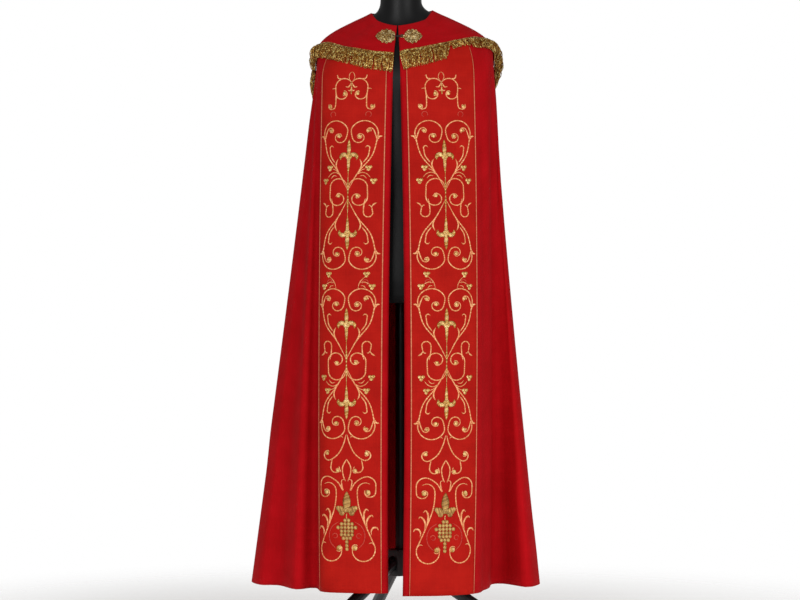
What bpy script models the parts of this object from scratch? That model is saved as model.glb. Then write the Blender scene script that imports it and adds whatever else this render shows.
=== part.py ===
"""A cope, worn by a limbless dress form on a three-legged stand.

The cope is one large cloth (the mantle) that hangs from the shoulders, with an
ornamental band (orphrey) down each front edge, a hood laid over the shoulders,
a bullion fringe sewn along the hood's edge, and a hook-and-eye clasp of two leaves.

Units are metres, +Z is up and the front faces -Y. Everything is drawn round the
axis of the neck, and an empty carries it all so that the origin of the scene lies
under the middle of the object. Heights above the hem are called "rise" below.
"""

import math

import bmesh
import bpy
from mathutils import Matrix, Vector
from mathutils.bvhtree import BVHTree

# ---------------------------------------------------------------- driving sizes

AXIS_X = 0.0140             # where the neck's axis stands, from the middle of the object
AXIS_Y = -0.0223
HEM_HEIGHT = 0.145          # the hem, above the floor
SEAM_GAP = 0.0003           # between pieces that are sewn or laid together

MANTLE_WALL = 0.0020
ORPHREY_WALL = 0.0012
HOOD_WALL = 0.0020

EDGE_STRIP = 0.015          # plain cloth between the opening and the orphrey
ORPHREY_WIDTH = 0.168

# Neckline: an oval, lower in front.
NECK_LEFT = 0.073
NECK_RIGHT = 0.077
NECK_FRONT = 0.062
NECK_BACK = 0.068
NECK_RISE_FRONT = 1.385
NECK_RISE_LEFT = 1.423
NECK_RISE_RIGHT = 1.430
NECK_RISE_BACK = 1.434
NECK_PANEL_SHARE = 0.30     # share of half the neckline that a front panel takes
NECK_SIDE_SHARE = 0.20      # and the stretch beside it, up to the shoulder's end

# Chest: the level section where the cloth leaves the shoulders and starts to hang.
CHEST_LEFT = 0.2075
CHEST_RIGHT = 0.2290
CHEST_FRONT = 0.125
CHEST_BACK = 0.145
CHEST_FRONT_SQUARENESS = 4.0
CHEST_BACK_SQUARENESS = 2.6
CHEST_RISE_PANEL = 1.250
CHEST_RISE_SIDE = 1.324
CHEST_RISE_BACK = 1.225

# Shape of a line of the cloth from the neck to the chest, as a cubic curve whose
# two inner points lie at these shares of the way out and of the way down.
SHOULDER_OUT = (0.38, 0.98)
SHOULDER_DOWN = (0.33, 0.55)

# The lines converge towards the neck, and the orphrey keeps its width for as long
# as there is room: not at all at the first share of the way down, fully at the second.
EVEN_FROM = (0.14, 0.57)
EVEN_ROOM = 0.75            # how much of the cloth beside it the orphrey may take up

# Front edges: distance from the neck's axis at the neck, chest and hem, and how
# far the edge bows between chest and hem.
FRONT_EDGES = {
    #         neck     chest    hem      bow
    "left": (-0.0100, -0.0200, -0.0310, -0.0050),
    "right": (-0.0070, -0.0020, 0.0040, 0.0075),
}

# The cloth falls straighter below the chest and then spreads: 1 would be an even slope.
FLARES = {"left": 1.07, "right": 1.15}
FLARE_BACK = 1.20

# Plan of the hem, from the left front edge round the back to the right one.
# Each row is a place that the cloth passes, as folds rise (crest) and sink (hollow).
HEM_PLAN = [
    # place                x       y
    ("left edge", -0.031, -0.215),
    ("left panel", -0.108, -0.210),
    ("left crest 1", -0.186, -0.186),
    ("left hollow 1", -0.213, -0.104),
    ("left crest 2", -0.256, -0.132),
    ("left hollow 2", -0.303, -0.050),
    ("left crest 3", -0.350, -0.038),
    ("left side", -0.374, 0.050),
    ("left hollow 3", -0.300, 0.092),
    ("left crest 4", -0.330, 0.188),
    ("left hollow 4", -0.218, 0.152),
    ("left crest 5", -0.212, 0.274),
    ("left hollow 5", -0.118, 0.176),
    ("left crest 6", -0.082, 0.310),
    ("centre back", 0.006, 0.198),
    ("right crest 6", 0.080, 0.304),
    ("right hollow 5", 0.112, 0.176),
    ("right crest 5", 0.214, 0.260),
    ("right hollow 4", 0.204, 0.138),
    ("right crest 4", 0.314, 0.156),
    ("right hollow 3", 0.284, 0.066),
    ("right side", 0.347, 0.006),
    ("right crest 3", 0.313, -0.088),
    ("right hollow 2", 0.262, -0.018),
    ("right hollow 1", 0.229, -0.030),
    ("right crest 2", 0.207, -0.140),
    ("right crest 1", 0.180, -0.216),
    ("right panel", 0.098, -0.262),
    ("right edge", 0.004, -0.270),
]

# Lines of the cloth that run from neck to hem: how many spaces lie in each
# stretch of one half, and how many between neck and chest, and chest and hem.
SPACES_STRIP = 1
SPACES_ORPHREY = 5
SPACES_SIDE = 8
SPACES_BACK = 24
ROWS_SHOULDER = 7
ROWS_HANGING = 7
ORPHREY_TOP_ROW = 3         # the orphrey starts under the hood

# Hood: height of its lower edge, and how far it stands off the mantle there.
HOOD_EDGES = {
    #        place among the lines (0 front edge, 6 orphrey's edge, 14 side), rise
    "left": [(0, 1.3052), (2, 1.3092), (6, 1.3364), (10, 1.3408), (14, 1.3390)],
    "right": [(0, 1.3085), (2, 1.3188), (6, 1.3476), (9, 1.3524), (12, 1.3528), (14, 1.3480)],
}
HOOD_RISE_BACK = 0.980
HOOD_LIFT = 0.0032
HOOD_LIFT_NECK = 0.0009
HOOD_ROWS = 10

# Fringe: a narrow strip on the hood's edge with the strands below it.
FRINGE_STRIP_HEIGHT = 0.009
FRINGE_STRIP_WALL = 0.0018
FRINGE_GAP = 0.0012         # between the strip and the hood
FRINGE_LENGTH = 0.045
FRINGE_STRAND_WIDTH = 0.0068
FRINGE_PITCH = 0.0108
FRINGE_SPLAY = 0.45         # 0 hangs straight down, 1 square to the hood's edge
FRINGE_END_MARGIN = 0.001
FRINGE_LEVELS = [
    # down   width  distance from the mantle, as shares of the values at the root
    (0.5, 1.00, 0.90),
    (1.0, 0.75, 0.65),
]

# Clasp: two flat leaves that lie on the hood, joined by a hook and an eye.
CLASP_RISE = 1.3570
CLASP_WALL = 0.0026
LEAF_LENGTH = 0.050
LEAF_HALF_HEIGHT = 0.0195
LEAF_STATIONS = 9
LEAF_ROWS = (-1.0, -0.5, 0.0, 0.5, 1.0)
LEAF_LOBES = 2.5
LEAF_LOBE_DEPTH = 0.20
LEAF_FULLNESS = 0.7
LEAF_EDGE_THINNING = 0.4    # the leaf is thinner at its edge than at its midrib
LEFT_LEAF_ROOT = -0.0150
RIGHT_LEAF_ROOT = -0.0010
WIRE_RADIUS = 0.0011
WIRE_REACH = 0.006          # how far hook and eye lie over their leaves
HOOK_STRAIGHT = 0.9         # how far the hook runs past the eye, in wire gaps,
HOOK_TIP = 1.4              # and how far its bent tip does

# Dress form: a smooth torso and neck, cut off at the hip.
# Clear space under the cloth, for each row from the neck to the chest.
FORM_CLEARANCES = (0.0020, 0.0020, 0.0020, 0.0024, 0.0024, 0.0016, 0.0009, 0.0009)
FORM_NECK_RADIUS = 0.0515
FORM_NECK_TOP = 1.500
FORM_NECK_BEVEL = 0.004
FORM_NECK_FOOT = 0.045      # the neck is straight down to this far below its top
FORM_COLLAR_SHARE = 0.25    # the ring that leads from the neck to the shoulders
FORM_COLLAR_LIFT = 0.012
FORM_SECTIONS = [
    # part          rise   half width  half depth
    ("bust", 1.160, 0.166, 0.108),
    ("under bust", 1.070, 0.156, 0.102),
    ("waist", 0.960, 0.134, 0.092),
    ("high hip", 0.860, 0.156, 0.104),
    ("hip", 0.760, 0.168, 0.112),
    ("base", 0.700, 0.160, 0.106),
]

# Stand.
POLE_RADIUS = 0.0140
HUB_RISE = 0.0525
HUB_HEIGHT = 0.064
HUB_APOTHEM = 0.030
LEG_RADIUS = 0.0150
LEG_SIDES = 12
LEG_FALL = 0.63             # drop for each unit of reach
LEG_DIRECTIONS = (-15.0, -135.0, 105.0)
FOOT_RADIUS = 0.030
FOOT_HEIGHT = 0.028
FOOT_TAPER = 0.95

# ---------------------------------------------------------------- materials

MATERIALS = {
    # material        red    green  blue   roughness metallic
    "red_damask": (0.345, 0.004, 0.006, 0.70, 0.0),
    "orphrey_cloth": (0.480, 0.010, 0.007, 0.62, 0.0),
    "gold_bullion": (0.420, 0.230, 0.050, 0.42, 0.6),
    "clasp_gold": (0.520, 0.360, 0.120, 0.35, 0.8),
    "wire_steel": (0.200, 0.180, 0.150, 0.35, 1.0),
    "form_black": (0.010, 0.010, 0.011, 0.22, 0.0),
    "stand_black": (0.012, 0.012, 0.013, 0.28, 0.0),
    "foot_rubber": (0.018, 0.018, 0.018, 0.80, 0.0),
}


def make_material(name):
    red, green, blue, roughness, metallic = MATERIALS[name]
    material = bpy.data.materials.new(name)
    material.use_nodes = True
    shader = material.node_tree.nodes["Principled BSDF"]
    shader.inputs["Base Color"].default_value = (red, green, blue, 1.0)
    shader.inputs["Roughness"].default_value = roughness
    shader.inputs["Metallic"].default_value = metallic
    return material


# ---------------------------------------------------------------- small helpers


def clear_scene():
    for item in list(bpy.data.objects):
        bpy.data.objects.remove(item)


def mix(first, second, share):
    return first + (second - first) * share


def ease(share):
    """A share from 0 to 1 that starts and ends gently."""
    return share * share * (3.0 - 2.0 * share)


def add_object(name, points, faces, material, sharp_angle=0.9):
    """A mesh object under the empty that carries the whole model."""
    mesh = bpy.data.meshes.new(name)
    mesh.from_pydata([tuple(point) for point in points], [], faces)
    mesh.validate()
    mesh.shade_smooth()
    mesh.set_sharp_from_angle(angle=sharp_angle)
    mesh.materials.append(materials[material])
    item = bpy.data.objects.new(name, mesh)
    item.parent = carrier
    bpy.context.collection.objects.link(item)
    return item


def wall(name, outer, inner, material):
    """A closed wall between two grids of points, each a list of rows."""
    columns = len(outer[0])
    points = [point for grid in (outer, inner) for row in grid for point in row]
    inner_start = len(outer) * columns
    faces = []
    for row in range(len(outer) - 1):
        for column in range(columns - 1):
            near = row * columns + column
            faces.append((near, near + 1, near + columns + 1, near + columns))
            near += inner_start
            faces.append((near, near + columns, near + columns + 1, near + 1))
    last_row = inner_start - columns
    rim = list(range(columns))
    rim += [row * columns + columns - 1 for row in range(1, len(outer))]
    rim += [last_row + column for column in reversed(range(columns - 1))]
    rim += [row * columns for row in reversed(range(1, len(outer) - 1))]
    for here, there in zip(rim, rim[1:] + rim[:1]):
        faces.append((there, here, here + inner_start, there + inner_start))
    return add_object(name, points, faces, material)


def lengths_along(points):
    """Distance of each point of a line from its first point."""
    total = [0.0]
    for before, after in zip(points, points[1:]):
        total.append(total[-1] + (after - before).length)
    return total


def point_along(points, lengths, distance):
    """The point at a distance along a line; before its start the line runs straight on."""
    index = 0
    while index < len(lengths) - 2 and lengths[index + 1] < distance:
        index += 1
    span = lengths[index + 1] - lengths[index]
    share = (distance - lengths[index]) / span
    return points[index] + (points[index + 1] - points[index]) * share


def offset(grid, normals, distance):
    """The grid's points moved along their normals."""
    return [
        [point + normal * distance for point, normal in zip(points, directions)]
        for points, directions in zip(grid, normals)
    ]


def grid_normals(grid):
    """The direction that faces out of the cloth at each point of a grid."""
    last_row = len(grid) - 1
    last_column = len(grid[0]) - 1
    normals = []
    for row in range(last_row + 1):
        line = []
        for column in range(last_column + 1):
            across = grid[row][min(column + 1, last_column)] - grid[row][max(column - 1, 0)]
            down = grid[min(row + 1, last_row)][column] - grid[max(row - 1, 0)][column]
            line.append(across.cross(down).normalized())
        normals.append(line)
    return normals


def surface_of(grid):
    """The faces of a grid, ready to be asked for the nearest or the hit point."""
    columns = len(grid[0])
    points = [point for row in grid for point in row]
    faces = []
    for row in range(len(grid) - 1):
        for column in range(columns - 1):
            near = row * columns + column
            faces.append((near, near + 1, near + columns + 1))
            faces.append((near, near + columns + 1, near + columns))
    return BVHTree.FromPolygons(points, faces)


def stand_off(surface, point, distance):
    """The place at a distance out of a surface, above the spot nearest to a point."""
    spot, normal, _, _ = surface.find_nearest(point)
    return spot + normal * distance, normal


# ---------------------------------------------------------------- lines of the cloth


def oval_line(half_width, front, back, square_front, square_back, side):
    """Half of an oval section, from the front centre to the back centre."""
    samples = 160
    line = []
    for sample in range(samples + 1):
        angle = math.pi * sample / samples
        squareness = square_front if angle < math.pi / 2 else square_back
        depth = front if angle < math.pi / 2 else back
        out = abs(math.sin(angle)) ** (2 / squareness)
        along = abs(math.cos(angle)) ** (2 / squareness)
        y = -depth * along if angle < math.pi / 2 else depth * along
        line.append(Vector((side * half_width * out, y, 0.0)))
    return line


def hem_line():
    """A smooth line through the hem's places, and the index of each place on it."""
    steps = 10
    places = [Vector((x, y, 0.0)) for _, x, y in HEM_PLAN]
    line = [places[0]]
    index_of = {HEM_PLAN[0][0]: 0}
    for here in range(len(places) - 1):
        before = places[max(here - 1, 0)]
        start, end = places[here], places[here + 1]
        after = places[min(here + 2, len(places) - 1)]
        pull_start = (end - before) / 2
        pull_end = (after - start) / 2
        for step in range(1, steps + 1):
            t = step / steps
            line.append(
                start * (2 * t ** 3 - 3 * t ** 2 + 1) + pull_start * (t ** 3 - 2 * t ** 2 + t)
                + end * (3 * t ** 2 - 2 * t ** 3) + pull_end * (t ** 3 - t ** 2)
            )
        index_of[HEM_PLAN[here + 1][0]] = len(line) - 1
    return line, index_of


def stations(line, marks):
    """Points along a line, spaced evenly between marks by the numbers of spaces."""
    lengths = lengths_along(line)
    spaces = (SPACES_STRIP, SPACES_ORPHREY, SPACES_SIDE, SPACES_BACK)
    points = [point_along(line, lengths, marks[0])]
    for start, end, count in zip(marks, marks[1:], spaces):
        for step in range(1, count + 1):
            points.append(point_along(line, lengths, mix(start, end, step / count)))
    return points


def half_columns(side_name):
    """Neck, chest and hem point of every line of the cloth in one half."""
    side = -1 if side_name == "left" else 1
    neck_edge, chest_edge, _, bow = FRONT_EDGES[side_name]
    neck_width = NECK_LEFT if side < 0 else NECK_RIGHT
    chest_width = CHEST_LEFT if side < 0 else CHEST_RIGHT

    neck = oval_line(neck_width, NECK_FRONT, NECK_BACK, 2.0, 2.0, side)
    total = lengths_along(neck)[-1]
    start = side * neck_edge
    panel = total * NECK_PANEL_SHARE
    strip = mix(start, panel, EDGE_STRIP / (EDGE_STRIP + ORPHREY_WIDTH))
    end_of_side = panel + total * NECK_SIDE_SHARE
    neck_points = stations(neck, (start, strip, panel, end_of_side, total))

    chest = oval_line(chest_width, CHEST_FRONT, CHEST_BACK,
                      CHEST_FRONT_SQUARENESS, CHEST_BACK_SQUARENESS, side)
    lengths = lengths_along(chest)
    start = side * chest_edge
    band = start + EDGE_STRIP
    chest_points = stations(
        chest, (start, band, band + ORPHREY_WIDTH, lengths[len(chest) // 2], lengths[-1]))

    hem, index_of = hem_line()
    centre = index_of["centre back"]
    hem = hem[:centre + 1] if side < 0 else hem[centre:][::-1]
    lengths = lengths_along(hem)
    side_index = index_of[side_name + " side"]
    side_length = lengths[side_index if side < 0 else len(hem) - 1 - (side_index - centre)]
    hem_points = stations(
        hem, (0.0, EDGE_STRIP, EDGE_STRIP + ORPHREY_WIDTH, side_length, lengths[-1]))

    panel_columns = SPACES_STRIP + SPACES_ORPHREY
    side_column = panel_columns + SPACES_SIDE
    last = side_column + SPACES_BACK
    neck_rise_side = NECK_RISE_LEFT if side < 0 else NECK_RISE_RIGHT
    columns = []
    for index in range(last + 1):
        if index <= side_column:
            to_side = ease(index / side_column)
            neck_rise = mix(NECK_RISE_FRONT, neck_rise_side, to_side)
            across_side = ease(max(0, index - panel_columns) / SPACES_SIDE)
            chest_rise = mix(CHEST_RISE_PANEL, CHEST_RISE_SIDE, across_side)
            panel_share = 1.0 - across_side
            flare = FLARES[side_name]
        else:
            to_back = ease((index - side_column) / SPACES_BACK)
            neck_rise = mix(neck_rise_side, NECK_RISE_BACK, to_back)
            chest_rise = mix(CHEST_RISE_SIDE, CHEST_RISE_BACK, to_back)
            panel_share = 0.0
            flare = mix(FLARES[side_name], FLARE_BACK, to_back)
        columns.append({
            "neck": neck_points[index] + Vector((0, 0, HEM_HEIGHT + neck_rise)),
            "chest": chest_points[index] + Vector((0, 0, HEM_HEIGHT + chest_rise)),
            "hem": hem_points[index] + Vector((0, 0, HEM_HEIGHT)),
            "bow": bow * panel_share,
            "flare": flare,
        })
    return columns


def shoulder_point(column, t):
    """A point on a line of the cloth between neck and chest."""
    neck, chest = column["neck"], column["chest"]
    weights = (3 * t * (1 - t) ** 2, 3 * t ** 2 * (1 - t), t ** 3)
    out = weights[0] * SHOULDER_OUT[0] + weights[1] * SHOULDER_OUT[1] + weights[2]
    down = weights[0] * SHOULDER_DOWN[0] + weights[1] * SHOULDER_DOWN[1] + weights[2]
    point = neck.lerp(chest, out)
    point.z = mix(neck.z, chest.z, down)
    return point


def hanging_point(column, share):
    """A point on a line of the cloth between chest and hem."""
    point = column["chest"].lerp(column["hem"], share ** column["flare"])
    point.z = mix(column["chest"].z, column["hem"].z, share)
    point.x += column["bow"] * 4 * share * (1 - share)
    return point


def keep_orphrey_width(line, t):
    """Points of one half of a shoulder row, slid along it so that the orphrey stays even."""
    panel = SPACES_STRIP + SPACES_ORPHREY
    side = panel + SPACES_SIDE
    lengths = lengths_along(line)
    start, edge, end = lengths[SPACES_STRIP], lengths[panel], lengths[side]
    wanted = min(start + ORPHREY_WIDTH, mix(edge, end, EVEN_ROOM))
    share = (t - EVEN_FROM[0]) / (EVEN_FROM[1] - EVEN_FROM[0])
    edge = mix(edge, max(edge, wanted), ease(min(1.0, max(0.0, share))))
    slid = list(line)
    for index in range(SPACES_STRIP + 1, side):
        if index <= panel:
            distance = mix(start, edge, (index - SPACES_STRIP) / SPACES_ORPHREY)
        else:
            distance = mix(edge, end, (index - panel) / SPACES_SIDE)
        slid[index] = point_along(line, lengths, distance)
    return slid


def mantle_grid():
    """The mantle's outer side: rows from neck to hem, columns from left to right edge."""
    halves = [half_columns("left"), half_columns("right")]
    grid = []
    for row in range(ROWS_SHOULDER + 1):
        t = row / ROWS_SHOULDER
        left, right = (
            keep_orphrey_width([shoulder_point(column, t) for column in half], t)
            for half in halves
        )
        grid.append(left + right[-2::-1])
    columns = halves[0] + halves[1][-2::-1]
    grid += [
        [hanging_point(column, row / ROWS_HANGING) for column in columns]
        for row in range(1, ROWS_HANGING + 1)
    ]
    return grid


# ---------------------------------------------------------------- cloth pieces


def make_mantle():
    wall("mantle", mantle, offset(mantle, mantle_normals, -MANTLE_WALL), "red_damask")


def make_orphreys():
    last = len(mantle[0]) - 1
    first_column = SPACES_STRIP
    end_column = SPACES_STRIP + SPACES_ORPHREY
    stretches = {
        "orphrey_left": slice(first_column, end_column + 1),
        "orphrey_right": slice(last - end_column, last - first_column + 1),
    }
    for name, stretch in stretches.items():
        grid = [row[stretch] for row in mantle[ORPHREY_TOP_ROW:]]
        normals = [row[stretch] for row in mantle_normals[ORPHREY_TOP_ROW:]]
        inner = offset(grid, normals, SEAM_GAP)
        outer = offset(grid, normals, SEAM_GAP + ORPHREY_WALL)
        wall(name, outer, inner, "orphrey_cloth")


def hood_edge_rise(column):
    """Height of the hood's lower edge above the hem, for a column of the mantle."""
    last = len(mantle[0]) - 1
    index = min(column, last - column)
    places = HOOD_EDGES["left" if index == column else "right"]
    for (before, rise_before), (after, rise_after) in zip(places, places[1:]):
        if index <= after:
            return mix(rise_before, rise_after, (index - before) / (after - before))
    # Behind the arm the edge falls at once, and it is rounded at the centre back.
    share = (index - places[-1][0]) / SPACES_BACK
    return mix(places[-1][1], HOOD_RISE_BACK, share * (1.2 + share * (0.6 - 0.8 * share)))


def row_at_height(column, height):
    """How many rows down a column of the mantle a height is reached."""
    row = 0
    while mantle[row + 1][column].z > height:
        row += 1
    above, below = mantle[row][column].z, mantle[row + 1][column].z
    return row + (above - height) / (above - below)


def hood_grid():
    """The hood's inner side, on the mantle's own columns."""
    columns = len(mantle[0])
    grid = [[] for _ in range(HOOD_ROWS + 1)]
    for column in range(columns):
        end = row_at_height(column, HEM_HEIGHT + hood_edge_rise(column))
        spacing = end / HOOD_ROWS
        for row in range(HOOD_ROWS + 1):
            place = spacing * row
            nearest = round(place)
            near_enough = abs(place - nearest) < spacing * 0.49
            if near_enough and 0 < nearest < end and row < HOOD_ROWS:
                place = nearest
            above = min(int(place), len(mantle) - 2)
            share = place - above
            point = mantle[above][column].lerp(mantle[above + 1][column], share)
            normal = mantle_normals[above][column].lerp(mantle_normals[above + 1][column], share)
            lift = mix(HOOD_LIFT_NECK, HOOD_LIFT, min(1.0, row * 4 / HOOD_ROWS))
            grid[row].append(point + normal.normalized() * lift)
    return grid


def make_hood():
    wall("hood", hood_outer, hood_inner, "red_damask")


def make_fringe():
    """A strip along the hood's lower edge with a strand under every other space."""
    edge = hood_outer[-1]
    lengths = lengths_along(edge)
    strands = int(lengths[-1] / FRINGE_PITCH)
    pitch = lengths[-1] / strands
    root_gap = HOOD_LIFT + HOOD_WALL + FRINGE_GAP

    points = []
    faces = []

    def ring(bottom, top, normal):
        first = len(points)
        for corner in (top, bottom):
            points.extend((corner, corner + normal * FRINGE_STRIP_WALL))
        return first

    def add_section(distance):
        place = point_along(edge, lengths, distance)
        upper = place + Vector((0, 0, FRINGE_STRIP_HEIGHT))
        top, _ = stand_off(hood_surface, upper, FRINGE_GAP)
        bottom, normal = stand_off(hood_surface, place, FRINGE_GAP)
        return ring(bottom, top, normal)

    def add_strand(left, right, distance):
        before = point_along(edge, lengths, distance - pitch / 2)
        after = point_along(edge, lengths, distance + pitch / 2)
        root = (before + after) / 2
        along = (after - before).normalized()
        _, normal = stand_off(mantle_surface, root, root_gap)
        square = along.cross(normal).normalized()
        if square.z > 0:
            square.negate()
        down = Vector((0, 0, -1))
        down = (down - normal * down.dot(normal)).normalized()
        way = down.lerp(square, FRINGE_SPLAY).normalized()
        levels = [(left + 2, left + 3, right + 3, right + 2)]
        for reach, width, gap in FRINGE_LEVELS:
            aim = root + way * FRINGE_LENGTH * reach
            spot, facing = stand_off(mantle_surface, aim, root_gap * gap)
            sideways = facing.cross(way).normalized()
            if sideways.dot(along) < 0:
                sideways.negate()
            half = sideways * (FRINGE_STRAND_WIDTH / 2 * width * sideways.dot(along))
            outward = facing * FRINGE_STRIP_WALL
            first = len(points)
            points.extend((spot - half, spot - half + outward,
                           spot + half + outward, spot + half))
            levels.append((first, first + 1, first + 2, first + 3))
        for above, below in zip(levels, levels[1:]):
            for side in range(4):
                turn = (side + 1) % 4
                faces.append((above[side], above[turn], below[turn], below[side]))
        faces.append(levels[-1])

    margin = (pitch - FRINGE_STRAND_WIDTH) / 2
    sections = [add_section(FRINGE_END_MARGIN)]
    for strand in range(strands):
        start = strand * pitch + margin
        sections.append(add_section(start))
        sections.append(add_section(start + FRINGE_STRAND_WIDTH))
    sections.append(add_section(lengths[-1] - FRINGE_END_MARGIN))

    for index, (left, right) in enumerate(zip(sections, sections[1:])):
        faces.append((left, left + 1, right + 1, right))
        faces.append((left + 1, left + 3, right + 3, right + 1))
        faces.append((left + 2, left, right, right + 2))
        if index % 2:
            add_strand(left, right, (index // 2 + 0.5) * pitch)
        else:
            faces.append((left + 3, left + 2, right + 2, right + 3))
    for end in (sections[0], sections[-1]):
        faces.append((end, end + 1, end + 3, end + 2))
    item = add_object("hood_fringe", points, faces, "gold_bullion", sharp_angle=0.5)
    face_outward(item)


def face_outward(item):
    """Turn every face of a closed body outward."""
    work = bmesh.new()
    work.from_mesh(item.data)
    bmesh.ops.recalc_face_normals(work, faces=work.faces)
    work.to_mesh(item.data)
    work.free()


# ---------------------------------------------------------------- clasp


def front_of_hood(x, z, distance):
    """The place in front of the hood at a given width and height."""
    spot, normal, _, _ = hood_surface.ray_cast(Vector((x, -1.0, z)), Vector((0, 1, 0)))
    return spot + normal * distance


def make_clasp_leaf(name, root_x, direction):
    """A flat leaf that lies on the hood, root at the opening and tip outward."""
    back = [[] for _ in LEAF_ROWS]
    face = [[] for _ in LEAF_ROWS]
    for station in range(LEAF_STATIONS):
        share = station / (LEAF_STATIONS - 1)
        body = math.sin(math.pi * mix(0.16, 0.97, share)) ** LEAF_FULLNESS
        lobe = 1.0 - LEAF_LOBE_DEPTH * (1.0 - abs(math.cos(LEAF_LOBES * math.pi * share)))
        half = LEAF_HALF_HEIGHT * body * lobe
        x = root_x + direction * LEAF_LENGTH * share
        for row, part in enumerate(LEAF_ROWS):
            z = HEM_HEIGHT + CLASP_RISE - part * half
            ridge = CLASP_WALL * (1.0 - LEAF_EDGE_THINNING * abs(part))
            back[row].append(front_of_hood(x, z, SEAM_GAP * 2))
            face[row].append(front_of_hood(x, z, SEAM_GAP * 2 + ridge))
    face_outward(wall(name, face, back, "clasp_gold"))


def make_wire(name, route):
    """A round wire along a few points."""
    curve = bpy.data.curves.new(name, "CURVE")
    curve.dimensions = "3D"
    curve.bevel_depth = WIRE_RADIUS
    curve.bevel_resolution = 2
    curve.use_fill_caps = True
    spline = curve.splines.new("POLY")
    spline.points.add(len(route) - 1)
    for slot, place in zip(spline.points, route):
        slot.co = (*place, 1.0)
    curve.materials.append(materials["wire_steel"])
    item = bpy.data.objects.new(name, curve)
    item.parent = carrier
    bpy.context.collection.objects.link(item)


def make_clasp():
    make_clasp_leaf("clasp_leaf_left", LEFT_LEAF_ROOT, -1)
    make_clasp_leaf("clasp_leaf_right", RIGHT_LEAF_ROOT, 1)
    height = HEM_HEIGHT + CLASP_RISE
    wire_gap = WIRE_RADIUS * 2 + SEAM_GAP
    lift = CLASP_WALL + WIRE_RADIUS + SEAM_GAP * 4
    spread = wire_gap * 0.75
    eye_end = RIGHT_LEAF_ROOT + WIRE_REACH
    hook_end = LEFT_LEAF_ROOT - WIRE_REACH
    bend = mix(LEFT_LEAF_ROOT, RIGHT_LEAF_ROOT, 0.5)
    upper = front_of_hood(eye_end, height + spread, lift)
    lower = front_of_hood(eye_end, height - spread, lift)
    depth = front_of_hood(RIGHT_LEAF_ROOT, height - spread, lift).y
    make_wire("clasp_eye", (
        upper,
        Vector((bend + WIRE_RADIUS, depth, height + spread)),
        Vector((bend, depth, height + spread / 2)),
        Vector((bend, depth, height - spread / 2)),
        Vector((bend + WIRE_RADIUS, depth, height - spread)),
        lower,
    ))
    ahead = depth - wire_gap * 1.1
    make_wire("clasp_hook", (
        front_of_hood(hook_end, height, lift),
        Vector((LEFT_LEAF_ROOT, ahead, height)),
        Vector((bend, ahead, height)),
        Vector((bend + wire_gap * HOOK_STRAIGHT, ahead, height)),
        Vector((bend + wire_gap * HOOK_TIP, mix(ahead, depth, 0.5), height)),
    ))


# ---------------------------------------------------------------- dress form


def make_form():
    """Neck, shoulders and torso as one smooth body of rings, closed at both ends."""
    picked = range(0, len(mantle[0]), 2)
    inset = []
    for row in range(ROWS_SHOULDER + 1):
        depth = MANTLE_WALL + FORM_CLEARANCES[row]
        inset += offset([mantle[row]], [mantle_normals[row]], -depth)
    around = [math.atan2(mantle[0][column].x, -mantle[0][column].y) for column in picked]

    def level(radius, rise):
        return [
            Vector((radius * math.sin(angle), -radius * math.cos(angle), HEM_HEIGHT + rise))
            for angle in around
        ]

    rings = [
        level(FORM_NECK_RADIUS - FORM_NECK_BEVEL, FORM_NECK_TOP),
        level(FORM_NECK_RADIUS, FORM_NECK_TOP - FORM_NECK_BEVEL),
        level(FORM_NECK_RADIUS, FORM_NECK_TOP - FORM_NECK_FOOT),
    ]
    neck_edge = [inset[0][column] for column in picked]
    upright = level(FORM_NECK_RADIUS, 0.0)
    collar = []
    for foot, edge in zip(upright, neck_edge):
        spot = foot.lerp(edge, FORM_COLLAR_SHARE)
        spot.z = edge.z + FORM_COLLAR_LIFT
        collar.append(spot)
    rings.append(collar)
    rings.append(neck_edge)
    for row in range(1, ROWS_SHOULDER + 1):
        rings.append([inset[row][column] for column in picked])
    chest = rings[-1]
    for _, rise, half_width, half_depth in FORM_SECTIONS:
        ring = []
        for spot in chest:
            angle = math.atan2(spot.x / CHEST_LEFT, -spot.y / CHEST_FRONT)
            ring.append(Vector((half_width * math.sin(angle), -half_depth * math.cos(angle),
                                HEM_HEIGHT + rise)))
        rings.append(ring)

    count = len(chest)
    points = [spot for ring in rings for spot in ring]
    faces = [tuple(range(count))]
    for row in range(len(rings) - 1):
        for here in range(count):
            there = (here + 1) % count
            near = row * count
            faces.append((near + here, near + there, near + count + there, near + count + here))
    faces.append(tuple(reversed(range(len(points) - count, len(points)))))
    face_outward(add_object("form_torso", points, faces, "form_black", sharp_angle=1.0))


# ---------------------------------------------------------------- stand


def make_cylinder(name, radius, bottom, top, material, sides=24, top_radius=None, turn=0.0):
    """An upright cylinder, cone or prism on the neck's axis."""
    work = bmesh.new()
    bmesh.ops.create_cone(
        work, cap_ends=True, segments=sides, depth=top - bottom,
        radius1=radius, radius2=radius if top_radius is None else top_radius)
    bmesh.ops.rotate(work, verts=work.verts, matrix=Matrix.Rotation(turn, 3, "Z"))
    bmesh.ops.translate(work, verts=work.verts, vec=(0, 0, (top + bottom) / 2))
    mesh = bpy.data.meshes.new(name)
    work.to_mesh(mesh)
    work.free()
    mesh.shade_smooth()
    mesh.set_sharp_from_angle(angle=0.6)
    mesh.materials.append(materials[material])
    item = bpy.data.objects.new(name, mesh)
    item.parent = carrier
    bpy.context.collection.objects.link(item)
    return item


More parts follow.
